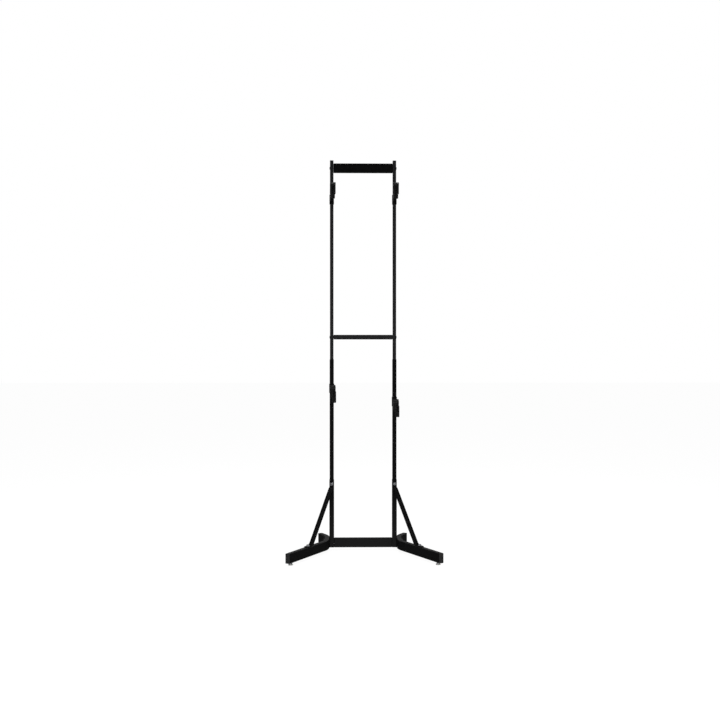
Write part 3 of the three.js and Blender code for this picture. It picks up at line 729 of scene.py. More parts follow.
@dataclass
class GrowthTree(NodeWriter):
    """A geometry tree that grows something on markers.

    Attributes:
        get: The tree's inputs, by name.
    """

    get: bpy.types.bpy_prop_collection = field(init=False)

    @classmethod
    def start(cls, name: str, inputs: dict[str, str]) -> "GrowthTree":
        """Starts a tree with a geometry input, its sizes and a material.

        Args:
            name: The tree's name.
            inputs: The socket class of each size, by name.

        Returns:
            The tree, still without an output.
        """
        sockets = {"Geometry": GEOMETRY, **inputs, "Material": "NodeSocketMaterial"}
        tree = new_group(name, "GeometryNodeTree", sockets, {"Geometry": GEOMETRY}).tree
        growth = cls(tree)
        growth.get = growth.add("NodeGroupInput").outputs
        return growth

    def end(self, *parts: Node) -> NodeTree:
        """Joins, realizes and gives the material, which ends every tree.

        Args:
            *parts: What grows in this tree.

        Returns:
            The finished tree.
        """
        real = self.add("GeometryNodeRealizeInstances", Geometry=self.together(*parts))
        dressed = self.add("GeometryNodeSetMaterial", Geometry=real, Material=self.get["Material"])
        self.add("NodeGroupOutput", Geometry=dressed)
        return self.tree

    def together(self, *parts: Node) -> Node:
        """Joins geometry.

        Args:
            *parts: Nodes whose first output is geometry.

        Returns:
            The node that joins it.
        """
        whole = self.add("GeometryNodeJoinGeometry")
        for part in parts:
            self.tree.links.new(part.outputs[0], whole.inputs[0])
        return whole

    def lifted(self, part: object, height: object) -> Node:
        """Moves geometry along Z."""
        lift = self.add("ShaderNodeCombineXYZ", Z=height)
        return self.add("GeometryNodeTransform", Geometry=part, Translation=lift)

    def attribute(self, name: str, kind: str = "FLOAT") -> Node:
        """Reads an attribute of the markers."""
        return self.add("GeometryNodeInputNamedAttribute", {"data_type": kind}, Name=name)

    def axis(self) -> Node:
        """Each point's axis."""
        return self.attribute("axis", "FLOAT_VECTOR")

    def along_axis(self) -> Node:
        """The rotation that turns Z onto each point's axis."""
        return self.add("FunctionNodeAlignRotationToVector", {"axis": "Z"}, Vector=self.axis())

    def on_points(
        self, part: object, turned: object, points: object = None, scale: object = (1, 1, 1)
    ) -> Node:
        """Puts a copy of the part on each point, or else on each marker."""
        inputs = {"Points": points or self.get["Geometry"], "Instance": part, "Rotation": turned}
        return self.add("GeometryNodeInstanceOnPoints", **inputs, Scale=scale)

    def cylinder(self, sides: int, radius: object, height: object) -> Node:
        """A closed cylinder round Z, with its middle at the origin."""
        ends = {"fill_type": "NGON"}
        return self.add("GeometryNodeMeshCylinder", ends, Vertices=sides, Radius=radius, Depth=height)

    def ball(self, segments: int, rings: int, radius: object) -> Node:
        """A smooth ball."""
        ball = self.add("GeometryNodeMeshUVSphere", Segments=segments, Rings=rings, Radius=radius)
        return self.add("GeometryNodeSetShadeSmooth", Geometry=ball)

    def hexagon(self, across: object, height: object) -> Node:
        """A hexagonal head that stands on z = 0, with its upper corners turned off.

        Args:
            across: Its width across flats.
            height: Its full height.

        Returns:
            The node that gives it.
        """
        straight_share, narrowing = 0.86, 0.88
        straight = self.times(height, straight_share)
        bar = self.cylinder(HEX_SIDES, self.math("DIVIDE", across, math.sqrt(3)), straight)
        rest = self.math("SUBTRACT", height, straight)
        top = bar.outputs["Top"]
        raised = self.add("GeometryNodeExtrudeMesh", Mesh=bar, Selection=top, Offset_Scale=rest)
        top = raised.outputs["Top"]
        narrowed = self.add("GeometryNodeScaleElements", Geometry=raised, Selection=top, Scale=narrowing)
        return self.lifted(narrowed, self.times(straight, 0.5))


class Repeats:
    """Geometry trees for what repeats on the rack: bolts, weld beads, threads and ribs."""

    def __init__(self) -> None:
        """Builds the trees."""
        self.bolts = self.build_bolts()
        self.beads = self.build_beads()
        self.threads = self.build_threads()
        self.ribs = self.build_ribs()

    def build_bolts(self) -> NodeTree:
        """Bolts with washers and nuts, from points with an axis and a grip.

        Returns:
            A tree whose points are the middles of the washers' undersides.
        """
        washer_sides, shank_sides = 36, 20
        labels = ("Head Across", "Head Height", "Washer Diameter", "Washer Thickness", "Nut Height", "Tail")
        growth = GrowthTree.start("bolt_set", dict.fromkeys(("Shank Diameter", *labels), FLOAT))
        get, rotation, grip = growth.get, growth.along_axis(), growth.attribute("grip")
        thickness = get["Washer Thickness"]
        head = growth.lifted(growth.hexagon(get["Head Across"], get["Head Height"]), thickness)
        washer = growth.cylinder(washer_sides, growth.times(get["Washer Diameter"], 0.5), thickness)
        washer = growth.lifted(washer, growth.times(thickness, 0.5))
        heads = growth.on_points(growth.together(head, washer), rotation)
        shank = growth.cylinder(shank_sides, growth.times(get["Shank Diameter"], 0.5), 1.0)
        shank = growth.lifted(shank, -0.5)
        reach = growth.add("ShaderNodeCombineXYZ", X=1.0, Y=1.0, Z=growth.math("ADD", grip, get["Tail"]))
        shanks = growth.on_points(shank, rotation, scale=reach)
        nut = growth.hexagon(get["Head Across"], get["Nut Height"])
        nut = growth.add("GeometryNodeTransform", Geometry=nut, Rotation=(math.pi, 0, 0))
        backwards = growth.times(grip, -1.0)
        away = growth.add("ShaderNodeVectorMath", {"operation": "SCALE"}, in0=growth.axis(), in3=backwards)
        far = growth.add("GeometryNodeSetPosition", Geometry=get["Geometry"], Offset=away)
        return growth.end(heads, shanks, growth.on_points(nut, rotation, far))

    def build_beads(self) -> NodeTree:
        """A rippled weld bead along each line of edges.

        Returns:
            A tree from lines to overlapping flat drops.
        """
        sizes = {"Bead Radius": FLOAT, "Ripple Pitch": FLOAT, "Seed": "NodeSocketInt"}
        growth = GrowthTree.start("weld_bead", sizes)
        line = growth.add("GeometryNodeMeshToCurve", Mesh=growth.get["Geometry"])
        along = {"Curve": line, "Length": growth.get["Ripple Pitch"]}
        points = growth.add("GeometryNodeCurveToPoints", {"mode": "LENGTH"}, **along)
        drop = growth.ball(segments=10, rings=6, radius=growth.get["Bead Radius"])
        smallest, largest = (0.84, 0.84, 0.66), (1.0, 1.0, 0.82)
        span = {"Min": smallest, "Max": largest, "Seed": growth.get["Seed"]}
        size = growth.add("FunctionNodeRandomValue", {"data_type": "FLOAT_VECTOR"}, **span)
        return growth.end(growth.on_points(drop, points.outputs["Rotation"], points, size))

    def build_threads(self) -> NodeTree:
        """A screw thread that winds along the axis of each point.

        Returns:
            A tree from points with an axis to helical ridges.
        """
        depth_share = 0.36
        growth = GrowthTree.start("screw_thread", dict.fromkeys(("Core Radius", "Pitch", "Length"), FLOAT))
        get = growth.get
        radii = {"Start_Radius": get["Core Radius"], "End_Radius": get["Core Radius"]}
        rounds = growth.math("DIVIDE", get["Length"], get["Pitch"])
        spiral = growth.add(
            "GeometryNodeCurveSpiral", Resolution=20, Rotations=rounds, Height=get["Length"], **radii
        )
        depth = growth.times(get["Pitch"], depth_share)
        ridge = growth.add("GeometryNodeCurvePrimitiveCircle", Resolution=4, Radius=depth)
        thread = growth.add("GeometryNodeCurveToMesh", Curve=spiral, Profile_Curve=ridge, Fill_Caps=True)
        thread = growth.add("GeometryNodeSetShadeSmooth", Geometry=thread, Shade_Smooth=False)
        return growth.end(growth.on_points(thread, growth.along_axis()))

    def build_ribs(self) -> NodeTree:
        """Low rounded ribs, one on each point, turned about Z by the point's turn attribute.

        Returns:
            A tree from points with a turn to ribs.
        """
        growth = GrowthTree.start("rib_row", {"Rib Size": VECTOR})
        rotation = growth.add("ShaderNodeCombineXYZ", Z=growth.attribute("turn"))
        ball = growth.ball(segments=14, rings=10, radius=0.5)
        return growth.end(growth.on_points(ball, rotation, scale=growth.get["Rib Size"]))


@dataclass
class Workshop:
    """What every sub-assembly uses: the finishes, the geometry trees, and the sizes of what they share."""

    palette: Palette
    repeats: Repeats
    stud_core: float = 3.75 * MM
    thread_pitch: float = 1.25 * MM
    thread_sink: float = 0.1 * MM
    ripple_share: float = 0.85
    bead_seed: int = 7

    def fit(
        self, name: str, body: str, slot: SlotName, parts: list[Mesh], *nodes: str, crease: float = 0.0
    ) -> None:
        """Makes a dressed piece that rides on a body and stands for CAD nodes.

        Args:
            name: The piece's name.
            body: The CAD body that carries it.
            slot: Its material slot.
            parts: Its meshes, which become one.
            *nodes: CAD nodes that it replaces.
            crease: Where given, the whole is softened with it.
        """
        piece = link_piece(name, joined(parts) if parts[1:] else parts[0])
        if crease:
            soften(piece.data, crease)
        self.palette.dress(piece, slot)
        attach(piece, body)
        if nodes:
            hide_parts(*nodes)
        log.info("%s rides %s and stands for %s", piece.name, body, ", ".join(nodes) or "nothing")

    def grow(
        self, tree: NodeTree, slot: SlotName, marks: Mesh, matrix: Matrix = IDENTITY, **values: object
    ) -> Mesh:
        """Runs a tree and keeps its result as a plain mesh.

        Args:
            tree: One of the geometry trees.
            slot: The material slot of what grows.
            marks: The points or lines that it reads.
            matrix: Places the result in the row frame.
            **values: The tree's named inputs, with _ for a space.

        Returns:
            What has grown.
        """
        values["Material"] = self.palette.built[slot]
        carrier = link_piece("markers", marks)
        modifier = carrier.modifiers.new("grow", "NODES")
        modifier.node_group = tree
        for item in tree.interface.items_tree:
            label = item.name.replace(" ", "_")
            if item.in_out == "INPUT" and label in values:
                modifier[item.identifier] = values[label]
        mesh = evaluated_mesh(carrier)
        carrier.modifiers.remove(modifier)
        bpy.data.objects.remove(carrier)
        settle(mesh, matrix)
        return mesh

    def weld(self, slot: SlotName, loops: list[Points], radius: float, matrix: Matrix = IDENTITY) -> Mesh:
        """Lays a weld bead round each closed loop.

        Args:
            slot: The beads' material slot.
            loops: The loops' points.
            radius: Radius of the bead.
            matrix: Places the loops in the row frame.

        Returns:
            All the beads.
        """
        points, edges = [], []
        for loop in loops:
            first = len(points)
            points += loop
            edges += [(first + step, first + (step + 1) % len(loop)) for step in range(len(loop))]
        sizes = {"Bead_Radius": radius, "Ripple_Pitch": radius * self.ripple_share, "Seed": self.bead_seed}
        return self.grow(self.repeats.beads, slot, markers(points, edges), matrix, **sizes)

    def thread(self, mark: Mesh, length: float, matrix: Matrix = IDENTITY) -> Mesh:
        """Winds a plated thread round a stud's core, from the marker along its axis."""
        sizes = {"Core_Radius": self.stud_core - self.thread_sink, "Pitch": self.thread_pitch}
        return self.grow(self.repeats.threads, SlotName.ZINC, mark, matrix, **sizes, Length=length)

    def ribs(self, slot: SlotName, marks: Mesh, size: Triple, matrix: Matrix) -> Mesh:
        """Sets a low rib of that size on each marker."""
        return self.grow(self.repeats.ribs, slot, marks, matrix, Rib_Size=size)


def level(height: float) -> Station:
    """A level station on an upright's centre line, in the frame of its side."""
    return Station(Vector((0, 0, height)), RIGHT, BACK)


def side_matrix(side: Side, upright_y: float, height: float = 0.0) -> Matrix:
    """Places a frame on an upright's centre line, mirrored on the left."""
    place = Vector((side.value * SPACING / 2, upright_y, height))
    return Matrix.Translation(place) @ Matrix.Diagonal((side.value, 1, 1, 1))


@dataclass
class FootAssembly:
    """One bent foot with its base post, its end caps and its brace, drawn for the right side.

    Its own frame has its origin on the floor under the middle of the upright.
    """

    side: Side
    matrix: Matrix
    tube: Section = Section(25 * MM, 50 * MM, 2.5 * MM)
    wall: float = 2 * MM
    clearance: float = 12 * MM
    beside_upright: float = 24.9 * MM
    middle_length: float = 60 * MM
    bend_radius: float = 130 * MM
    bend_angle: float = math.radians(29.4)
    front_length: float = 350 * MM
    rear_length: float = 48 * MM
    bend_steps: int = 14
    cap_thickness: float = 2.5 * MM
    cap_bevel: float = 0.9 * MM
    panel_inset: float = 4.5 * MM
    panel_rise: float = 0.35 * MM
    panel_bevel: float = 0.3 * MM
    brace_tube: Section = Section(19 * MM, 19 * MM, 2.5 * MM)
    brace_tab: Section = Section(24 * MM, 4 * MM, 1.5 * MM)
    brace_bolt_height: float = 356 * MM
    brace_top_tab: float = 28 * MM
    brace_top_crimp: float = 15 * MM
    brace_distance: float = 124 * MM
    brace_rise: float = 8 * MM
    brace_low_crimp: float = 16 * MM
    brace_low_tab: float = 38 * MM
    brace_crease: float = 24.0
    crimp_steps: int = 9
    post: Section = Section(POST_SIDE, POST_SIDE, 2.5 * MM)
    post_wall: float = 1.2 * MM
    post_top: float = 378 * MM

    @property
    def middle_height(self) -> float:
        """Height of the tube's centre line."""
        return self.clearance + self.tube.height / 2

    def axes(self, angle: float) -> tuple[Vector, Vector]:
        """The tube's way of travel and the axis across it, where it has turned by an angle."""
        sine, cosine = math.sin(angle), math.cos(angle)
        return Vector((sine, -cosine, 0)), Vector((cosine, sine, 0))

    def on_bend(self, angle: float, bend_y: float) -> Vector:
        """A point of the centre line on the bend that starts at bend_y."""
        centre = Vector((self.beside_upright + self.bend_radius, bend_y, self.middle_height))
        return centre - self.axes(angle)[1] * self.bend_radius

    def leg_length(self, end: FootEnd) -> float:
        """Length of a straight leg."""
        return self.front_length if end is FootEnd.FRONT else self.rear_length

    def leg_point(self, end: FootEnd, distance: float) -> Vector:
        """A point of a straight leg's centre line.

        Args:
            end: The foot's end that the leg leads to.
            distance: How far the point is past the bend.

        Returns:
            The point.
        """
        angle = -end.value * self.bend_angle
        start = self.on_bend(angle, end.value * self.middle_length / 2)
        return start - self.axes(angle)[0] * (end.value * distance)

    def above_leg(self, distance: float, rise: float) -> Vector:
        """A point over the front leg's centre line.

        Args:
            distance: How far it is past the bend.
            rise: How far it is above the gap on the tube's upper face.

        Returns:
            The point.
        """
        place = self.leg_point(FootEnd.FRONT, distance)
        place.z = self.clearance + self.tube.height + GAP + rise
        return place

    def stations(self) -> list[Station]:
        """The path of the bent tube.

        Returns:
            Its stations from the rear end to the front end.
        """
        half, bend = self.middle_length / 2, self.bend_angle
        turned = [bend * step / self.bend_steps for step in range(self.bend_steps + 1)]
        path = [(self.leg_point(FootEnd.REAR, self.rear_length), -bend)]
        path += [(self.on_bend(angle - bend, half), angle - bend) for angle in turned]
        path += [(self.on_bend(angle, -half), angle) for angle in turned]
        path.append((self.leg_point(FootEnd.FRONT, self.front_length), bend))
        return [Station(place, self.axes(angle)[1], UP) for place, angle in path]

    def build_tube(self, shop: Workshop) -> None:
        """Makes the bent tube with the base post that is welded to its side.

        Args:
            shop: The finishes, trees and sizes that all pieces share.
        """
        shell = Shell().tube(self.stations(), self.tube, self.wall)
        shell.tube([level(self.clearance), level(self.post_top)], self.post, self.post_wall)
        name = f"{self.side.label}_foot"
        shop.fit(f"{name}_tube", "frame", SlotName.LOWER_PAINT, [shell.mesh(self.matrix)], name)

    def build_cap(self, shop: Workshop, end: FootEnd) -> None:
        """Makes one moulded end cap, a soft-edged plate with a shallow raised panel.

        Args:
            shop: The finishes, trees and sizes that all pieces share.
            end: The foot's end that it closes.
        """
        outwards, sideways = (axis * -end.value for axis in self.axes(-end.value * self.bend_angle))
        length = self.leg_length(end) + GAP
        start, finish = (self.leg_point(end, length + depth) for depth in (0, self.cap_thickness))
        panel = (finish - outwards * self.cap_bevel, finish + outwards * self.panel_rise)
        shell = Shell()
        for places, section, bevel in (
            ((start, finish), self.tube, self.cap_bevel),
            (panel, self.tube.shrunk(self.panel_inset), self.panel_bevel),
        ):
            shell.bevelled_prism([Station(place, sideways, UP) for place in places], section, bevel)
        name = f"{self.side.label}_{end.label}_foot_cap"
        shop.fit(f"{name}_moulding", "frame", SlotName.PLASTIC, [shell.mesh(self.matrix)], name)

    def brace_rings(self) -> list[list[Vector]]:
        """The brace's shape, with both crimps eased.

        Returns:
            Its rings from the upper tab to the lower tab.
        """
        tab, tube = self.brace_tab, self.brace_tube
        tab_y = -self.post.width / 2 - GAP - tab.height / 2
        tab_top = self.brace_bolt_height + self.brace_top_tab / 2
        tab_bottom = tab_top - self.brace_top_tab
        tube_end = self.above_leg(self.brace_distance, self.brace_rise)
        heading = Vector((tube_end.x, tube_end.y - tab_y, 0)).normalized()
        half_spread = (tube.width * math.sqrt(2) - tab.height) / 2
        below_tab = Vector((0, tab_y, tab_bottom - self.brace_top_crimp))
        tube_start = below_tab + heading * half_spread / -heading.y
        along = (tube_end - tube_start).normalized()
        across = Vector((heading.y, -heading.x, 0))
        down_leg, leg_across = self.axes(self.bend_angle)
        low = self.brace_distance + self.brace_low_crimp
        plan = (
            (Vector((0, tab_y, tab_top)), -RIGHT, -UP, tab),
            (Vector((0, tab_y, tab_bottom)), -RIGHT, -UP, tab),
            (tube_start, across, along, tube),
            (tube_end, across, along, tube),
            (self.above_leg(low, tab.height / 2), -leg_across, down_leg, tab),
            (self.above_leg(low + self.brace_low_tab, tab.height / 2), -leg_across, down_leg, tab),
        )
        rings = [
            Station(place, first, travel.cross(first)).ring(section) for place, first, travel, section in plan
        ]
        return [rings[0], *self.between(*rings[1:3]), *self.between(*rings[3:5]), rings[5]]

    def between(self, first: list[Vector], second: list[Vector]) -> list[list[Vector]]:
        """Rings that change from one shape to another, gently at both ends.

        Args:
            first: The points of the first shape.
            second: As many points of the second shape.

        Returns:
            All the rings, both shapes among them.
        """
        start, end = (sum(ring, Vector()) / len(ring) for ring in (first, second))
        rings = []
        for step in range(self.crimp_steps + 1):
            share = step / self.crimp_steps
            middle = start.lerp(end, share)
            spread = eased(share)
            rings.append([middle + (a - start).lerp(b - end, spread) for a, b in zip(first, second)])
        return rings

    def build_brace(self, shop: Workshop) -> None:
        """Makes the brace, a square tube with both ends crimped flat and bolted on.

        Args:
            shop: The finishes, trees and sizes that all pieces share.
        """
        shell = Shell()
        shell.skin(self.brace_rings())
        name = f"{self.side.label}_brace"
        brace = shell.mesh(self.matrix, self.brace_crease)
        shop.fit(f"{name}_tube", "frame", SlotName.LOWER_PAINT, [brace], name)

    def brace_bolt(self) -> Vector:
        """Where the lower tab's bolt stands, on the tab's upper face."""
        distance = self.brace_distance + self.brace_low_crimp + self.brace_low_tab / 2
        return self.above_leg(distance, self.brace_tab.height)

    def build(self, shop: Workshop) -> None:
        """Makes the whole sub-assembly.

        Args:
            shop: The finishes, trees and sizes that all pieces share.
        """
        self.build_tube(shop)
        for end in FootEnd:
            self.build_cap(shop, end)
        self.build_brace(shop)


@dataclass
class Upright:
    """One telescoping upright with its top cap, in the same frame as its foot."""

    side: Side
    matrix: Matrix
    radius: float = 2.1 * MM
    lower_wall: float = 1.2 * MM
    lower_ends: Pair = (218 * MM, 1030 * MM)
    upper_wall: float = 1.5 * MM
    upper_ends: Pair = (910 * MM, 2105 * MM)
    cap_thickness: float = 3 * MM
    cap_bevel: float = 1.1 * MM

    def build(self, shop: Workshop) -> None:
        """Makes both tubes and the cap.

        Args:
            shop: The finishes, trees and sizes that all pieces share.
        """
        for name, side, wall, ends, slot in (
            ("lower_upright", LOWER_SIDE, self.lower_wall, self.lower_ends, SlotName.LOWER_PAINT),
            ("upper_upright", UPPER_SIDE, self.upper_wall, self.upper_ends, SlotName.UPPER_PAINT),
        ):
            shell = Shell().tube([level(z) for z in ends], Section(side, side, self.radius), wall)
            node = f"{self.side.label}_{name}"
            shop.fit(f"{node}_tube", "frame", slot, [shell.mesh(self.matrix)], node)
        start = self.upper_ends[1] + GAP
        ends = (level(start), level(start + self.cap_thickness))
        square = Section(UPPER_SIDE, UPPER_SIDE, self.radius)
        cap = Shell().bevelled_prism(ends, square, self.cap_bevel).mesh(self.matrix)
        node = f"{self.side.label}_upright_cap"
        shop.fit(f"{node}_moulding", "frame", SlotName.PLASTIC, [cap], node)


@dataclass
class CrossMember:
    """One tube between the uprights, with a plate welded on each end."""

    node: str
    height: float
    depth: float
    middle: float
    tube_side: float
    slot: SlotName
    upright_y: float
    wall: float = 2 * MM
    radius: float = 2.5 * MM
    plate_margin: float = 1.5 * MM
    plate_bevel: float = 0.4 * MM
    bead_radius: float = 0.9 * MM
    bead_out: float = 0.3 * MM

    def lying(self, x: float) -> Station:
        """A station on the member's centre line."""
        return Station(Vector((x, self.upright_y, self.middle)), BACK, UP)

    def build(self, shop: Workshop) -> None:
        """Makes the tube, its end plates and their welds.

        Args:
            shop: The finishes, trees and sizes that all pieces share.
        """
        length = SPACING - self.tube_side - 2 * GAP
        half_tube = (length - END_PLATE) / 2
        section = Section(self.depth, self.height, self.radius)
        face = section.shrunk(self.plate_margin)
        shell = Shell().tube([self.lying(-half_tube), self.lying(half_tube)], section, self.wall)
        inner = length / 2 - END_PLATE
        for start, end in ((-length / 2, -inner), (inner, length / 2)):
            shell.bevelled_prism((self.lying(start), self.lying(end)), face, self.plate_bevel)
        shop.fit(f"{self.node}_tube", "frame", self.slot, [shell.mesh()], self.node)
        loops = [self.lying(sign * (half_tube + self.bead_out)).ring(face) for sign in (-1, 1)]
        shop.fit(f"{self.node}_welds", "frame", self.slot, [shop.weld(self.slot, loops, self.bead_radius)])


@dataclass
class Arm:
    """One sliding arm with its cradle, strap, strap pin and clamp knob.

    Its own frame has its origin on the upright's centre line, at the height where the
    bicycle's tube rests.
    """

    tier: Tier
    side: Side
    upright_y: float
    tube_side: float
    contact_height: float
    strap_sway: float
    slide_clearance: float = 0.4 * MM
    sleeve_wall: float = 2.2 * MM
    sleeve_height: float = 50 * MM
    sleeve_top: float = 10 * MM
    radius: float = 2.5 * MM
    bar: Section = Section(18 * MM, 18 * MM, 2.5 * MM)
    bar_wall: float = 2 * MM
    bar_drop: float = 25 * MM
    bar_tip: float = 10 * MM
    contact_reach: float = 340 * MM
    toe_in: float = math.radians(1.7)
    boss_across: float = 14 * MM
    boss_length: float = 7 * MM
    boss_sink: float = 0.6 * MM
    boss_chamfer: float = 0.8 * MM
    boss_tip_share: float = 0.9
    bead_radius: float = 1.3 * MM
    bar_bead_out: float = 0.2 * MM
    bar_bead_spread: float = 0.5 * MM
    boss_bead_out: float = 0.9 * MM
    knob_standoff: float = 3 * MM
    knob_diameter: float = 26 * MM
    knob_thickness: float = 13 * MM
    knob_sides: int = 90
    knob_lobes: int = 5
    knob_lobe_share: float = 0.09
    stud_chamfer: float = 0.8 * MM
    stud_overlap: float = 0.5 * MM
    cradle_width: float = 28.5 * MM
    cradle_bevel: float = 2.6 * MM
    trough_radius: float = 20 * MM
    front_lip: float = 10 * MM
    rear_lip: float = 14 * MM
    front_lip_thickness: float = 9 * MM
    rear_lip_thickness: float = 8 * MM
    cradle_rubber: float = 5 * MM
    cradle_corner: float = 3 * MM
    cradle_crease: float = 35.0
    chin_drop: float = 48 * MM
    chin_length: float = 12 * MM
    cradle_rear: float = 24 * MM
    trough_rib: Pair = (1.7 * MM, 1.5 * MM)
    trough_rib_inset: float = 7 * MM
    trough_rib_sink: float = 0.1 * MM
    trough_rib_angles: Iterable[int] = range(-112, -50, 11)
    pin_drop: float = 2 * MM
    pin_standoff: float = 6 * MM
    ear_radius: float = 5 * MM
    ear_thickness: float = 3 * MM
    ear_bevel: float = 0.7 * MM
    button_diameter: float = 9 * MM
    button_neck: float = 5 * MM
    button_neck_radius: float = 2.5 * MM
    button_head: float = 2.5 * MM
    button_edge: float = 0.8 * MM
    button_sink: float = 1 * MM
    button_sides: int = 24
    strap_width: float = 21 * MM
    strap_thickness: float = 4 * MM
    strap_bevel: float = 1.1 * MM
    strap_drop: float = 74 * MM
    strap_end_radius: float = 4 * MM
    knuckle_radius: float = 4.2 * MM
    knuckle_edge: float = 0.9 * MM
    slot_count: int = 4
    slot_width: float = 9.4 * MM
    slot_height: float = 5.4 * MM
    slot_pitch: float = 9.5 * MM
    slot_start: float = 13 * MM
    rung: Triple = (15 * MM, 2.6 * MM, 1.6 * MM)
    tab_rib: Triple = (16 * MM, 1.5 * MM, 1.4 * MM)
    tab_rib_rise: float = 3.4 * MM
    tab_rib_pitch: float = 2.6 * MM
    tab_rib_count: int = 6
    sway_start: float = 5.3 * MM
    sway_length: float = 14 * MM
    sway_steps: int = 12

    ROUND_STEPS, LIP_STEPS, SLOT_STEPS, EAR_STEPS, TROUGH_STEPS = 6, 8, 12, 16, 32

    @property
    def label(self) -> str:
        """The start of this arm's node names."""
        return f"{self.tier.label}_{self.side.label}"

    @property
    def matrix(self) -> Matrix:
        """Places the arm's own frame, mirrored on the left."""
        return side_matrix(self.side, self.upright_y, self.contact_height)

    @property
    def head_matrix(self) -> Matrix:
        """Places the toed-in head, whose origin is the contact point."""
        forward = Matrix.Translation((0, -self.contact_reach - self.tube_side / 2, 0))
        return self.matrix @ Matrix.Rotation(-self.toe_in, 4, "Z") @ forward

    @property
    def outline_matrix(self) -> Matrix:
        """Stands a side outline up: its first axis points forward and its second up."""
        return self.head_matrix @ Matrix(((0, 0, -1), (-1, 0, 0), (0, 1, 0))).to_4x4()

    def edge_of_trough(self, lip: float) -> float:
        """How far from the contact point the trough ends, measured level, for a lip of that height."""
        return math.sqrt(self.trough_radius**2 - (self.trough_radius - lip) ** 2)

    @property
    def lip_front(self) -> float:
        """How far the cradle's front face is in front of the contact point."""
        return self.edge_of_trough(self.front_lip) + self.front_lip_thickness

    @property
    def lip_back(self) -> float:
        """How far the rear lip's back is in front of the contact point, so less than nothing."""
        return -self.edge_of_trough(self.rear_lip) - self.rear_lip_thickness

    @property
    def pin_forward(self) -> float:
        """How far the strap's pin is in front of the contact point."""
        return self.lip_front + self.pin_standoff

    def build_bar(self, shop: Workshop) -> None:
        """Makes the sleeve, the bar and the clamp's boss with their welds.

        Args:
            shop: The finishes, trees and sizes that all pieces share.
        """
        outer = self.tube_side + 2 * (self.slide_clearance + self.sleeve_wall)
        bottom = self.sleeve_top - self.sleeve_height
        sleeve = [level(bottom), level(self.sleeve_top)]
        shell = Shell().tube(sleeve, Section(outer, outer, self.radius), self.sleeve_wall)
        turn = Matrix.Rotation(-self.toe_in, 3, "Z")
        start = outer / 2 - self.sleeve_wall / 2
        end = self.contact_reach + self.tube_side / 2 + self.bar_tip
        bar = [Station(turn @ Vector((0, -y, -self.bar_drop)), turn @ RIGHT, UP) for y in (start, end)]
        shell.tube(bar, self.bar, self.bar_wall)
        foot_of_boss = Vector((0, outer / 2 - self.boss_sink, bottom + self.sleeve_height / 2))
        backwards = Matrix.Translation(foot_of_boss) @ Matrix.Rotation(-math.pi / 2, 4, "X")
        corner, length = self.boss_across / math.sqrt(3), self.boss_length + self.boss_sink
        tip = (corner * self.boss_tip_share, length)
        shell.lathe(backwards, [(corner, 0), (corner, length - self.boss_chamfer), tip], HEX_SIDES)
        face = Station(turn @ Vector((0, -outer / 2 - self.bar_bead_out, -self.bar_drop)), RIGHT, UP)
        around = [backwards @ point for point in on_circle(corner, self.boss_bead_out, turns(HEX_SIDES))]
        loops = [face.ring(self.bar.shrunk(-self.bar_bead_spread)), around]
        body = f"{self.label}_arm"
        shop.fit(f"{body}_steel", body, SlotName.LOWER_PAINT, [shell.mesh(self.matrix)], body)
        welds = shop.weld(SlotName.LOWER_PAINT, loops, self.bead_radius, self.matrix)
        shop.fit(f"{body}_welds", body, SlotName.LOWER_PAINT, [welds])

    def build_knob(self, shop: Workshop) -> None:
        """Makes the lobed clamp knob and its threaded stud.

        Args:
            shop: The finishes, trees and sizes that all pieces share.
        """
        foot_of_stud = Vector((0, self.tube_side / 2 + GAP, self.sleeve_top - self.sleeve_height / 2))
        base = Matrix.Translation(foot_of_stud) @ Matrix.Rotation(-math.pi / 2, 4, "X")
        stud_length = self.slide_clearance + self.sleeve_wall + self.boss_length + self.knob_standoff - GAP
        shares_of_radius_height_and_lobes = (
            (0.5, 0.0, 0.3), (0.78, 0.02, 0.6), (0.93, 0.1, 1.0), (1.0, 0.24, 1.0), (1.0, 0.7, 1.0),
            (0.96, 0.88, 1.0), (0.86, 0.97, 0.9), (0.72, 1.0, 0.6), (0.5, 1.0, 0.2), (0.44, 0.95, 0.0),
            (0.4, 0.88, 0.0), (0.2, 0.87, 0.0),
        )
        rings = []
        for share, height, lobe in shares_of_radius_height_and_lobes:
            ring = []
            for angle in turns(self.knob_sides):
                wave = 1 + lobe * self.knob_lobe_share * (math.cos(self.knob_lobes * angle) - 1)
                radius = self.knob_diameter / 2 * share * wave
                ring += on_circle(radius, stud_length + height * self.knob_thickness, [angle])
            rings.append([base @ point for point in ring])
        shell = Shell()
        shell.skin(rings)
        body, knob = f"{self.label}_knob", f"{self.label}_clamp_knob"
        shop.fit(f"{knob}_grip", body, SlotName.PLASTIC, [shell.mesh(self.matrix)], knob)
        core, chamfer = shop.stud_core, self.stud_chamfer
        profile = [(core - chamfer, 0), (core, chamfer), (core, stud_length + self.stud_overlap)]
        rod = Shell().lathe(base, profile, STUD_SIDES).mesh(self.matrix)
        mark = markers([base @ Vector((0, 0, chamfer))], axes=[BACK])
        thread = shop.thread(mark, stud_length - chamfer, self.matrix)
        shop.fit(f"{self.label}_clamp_stud", body, SlotName.ZINC, [rod, thread])

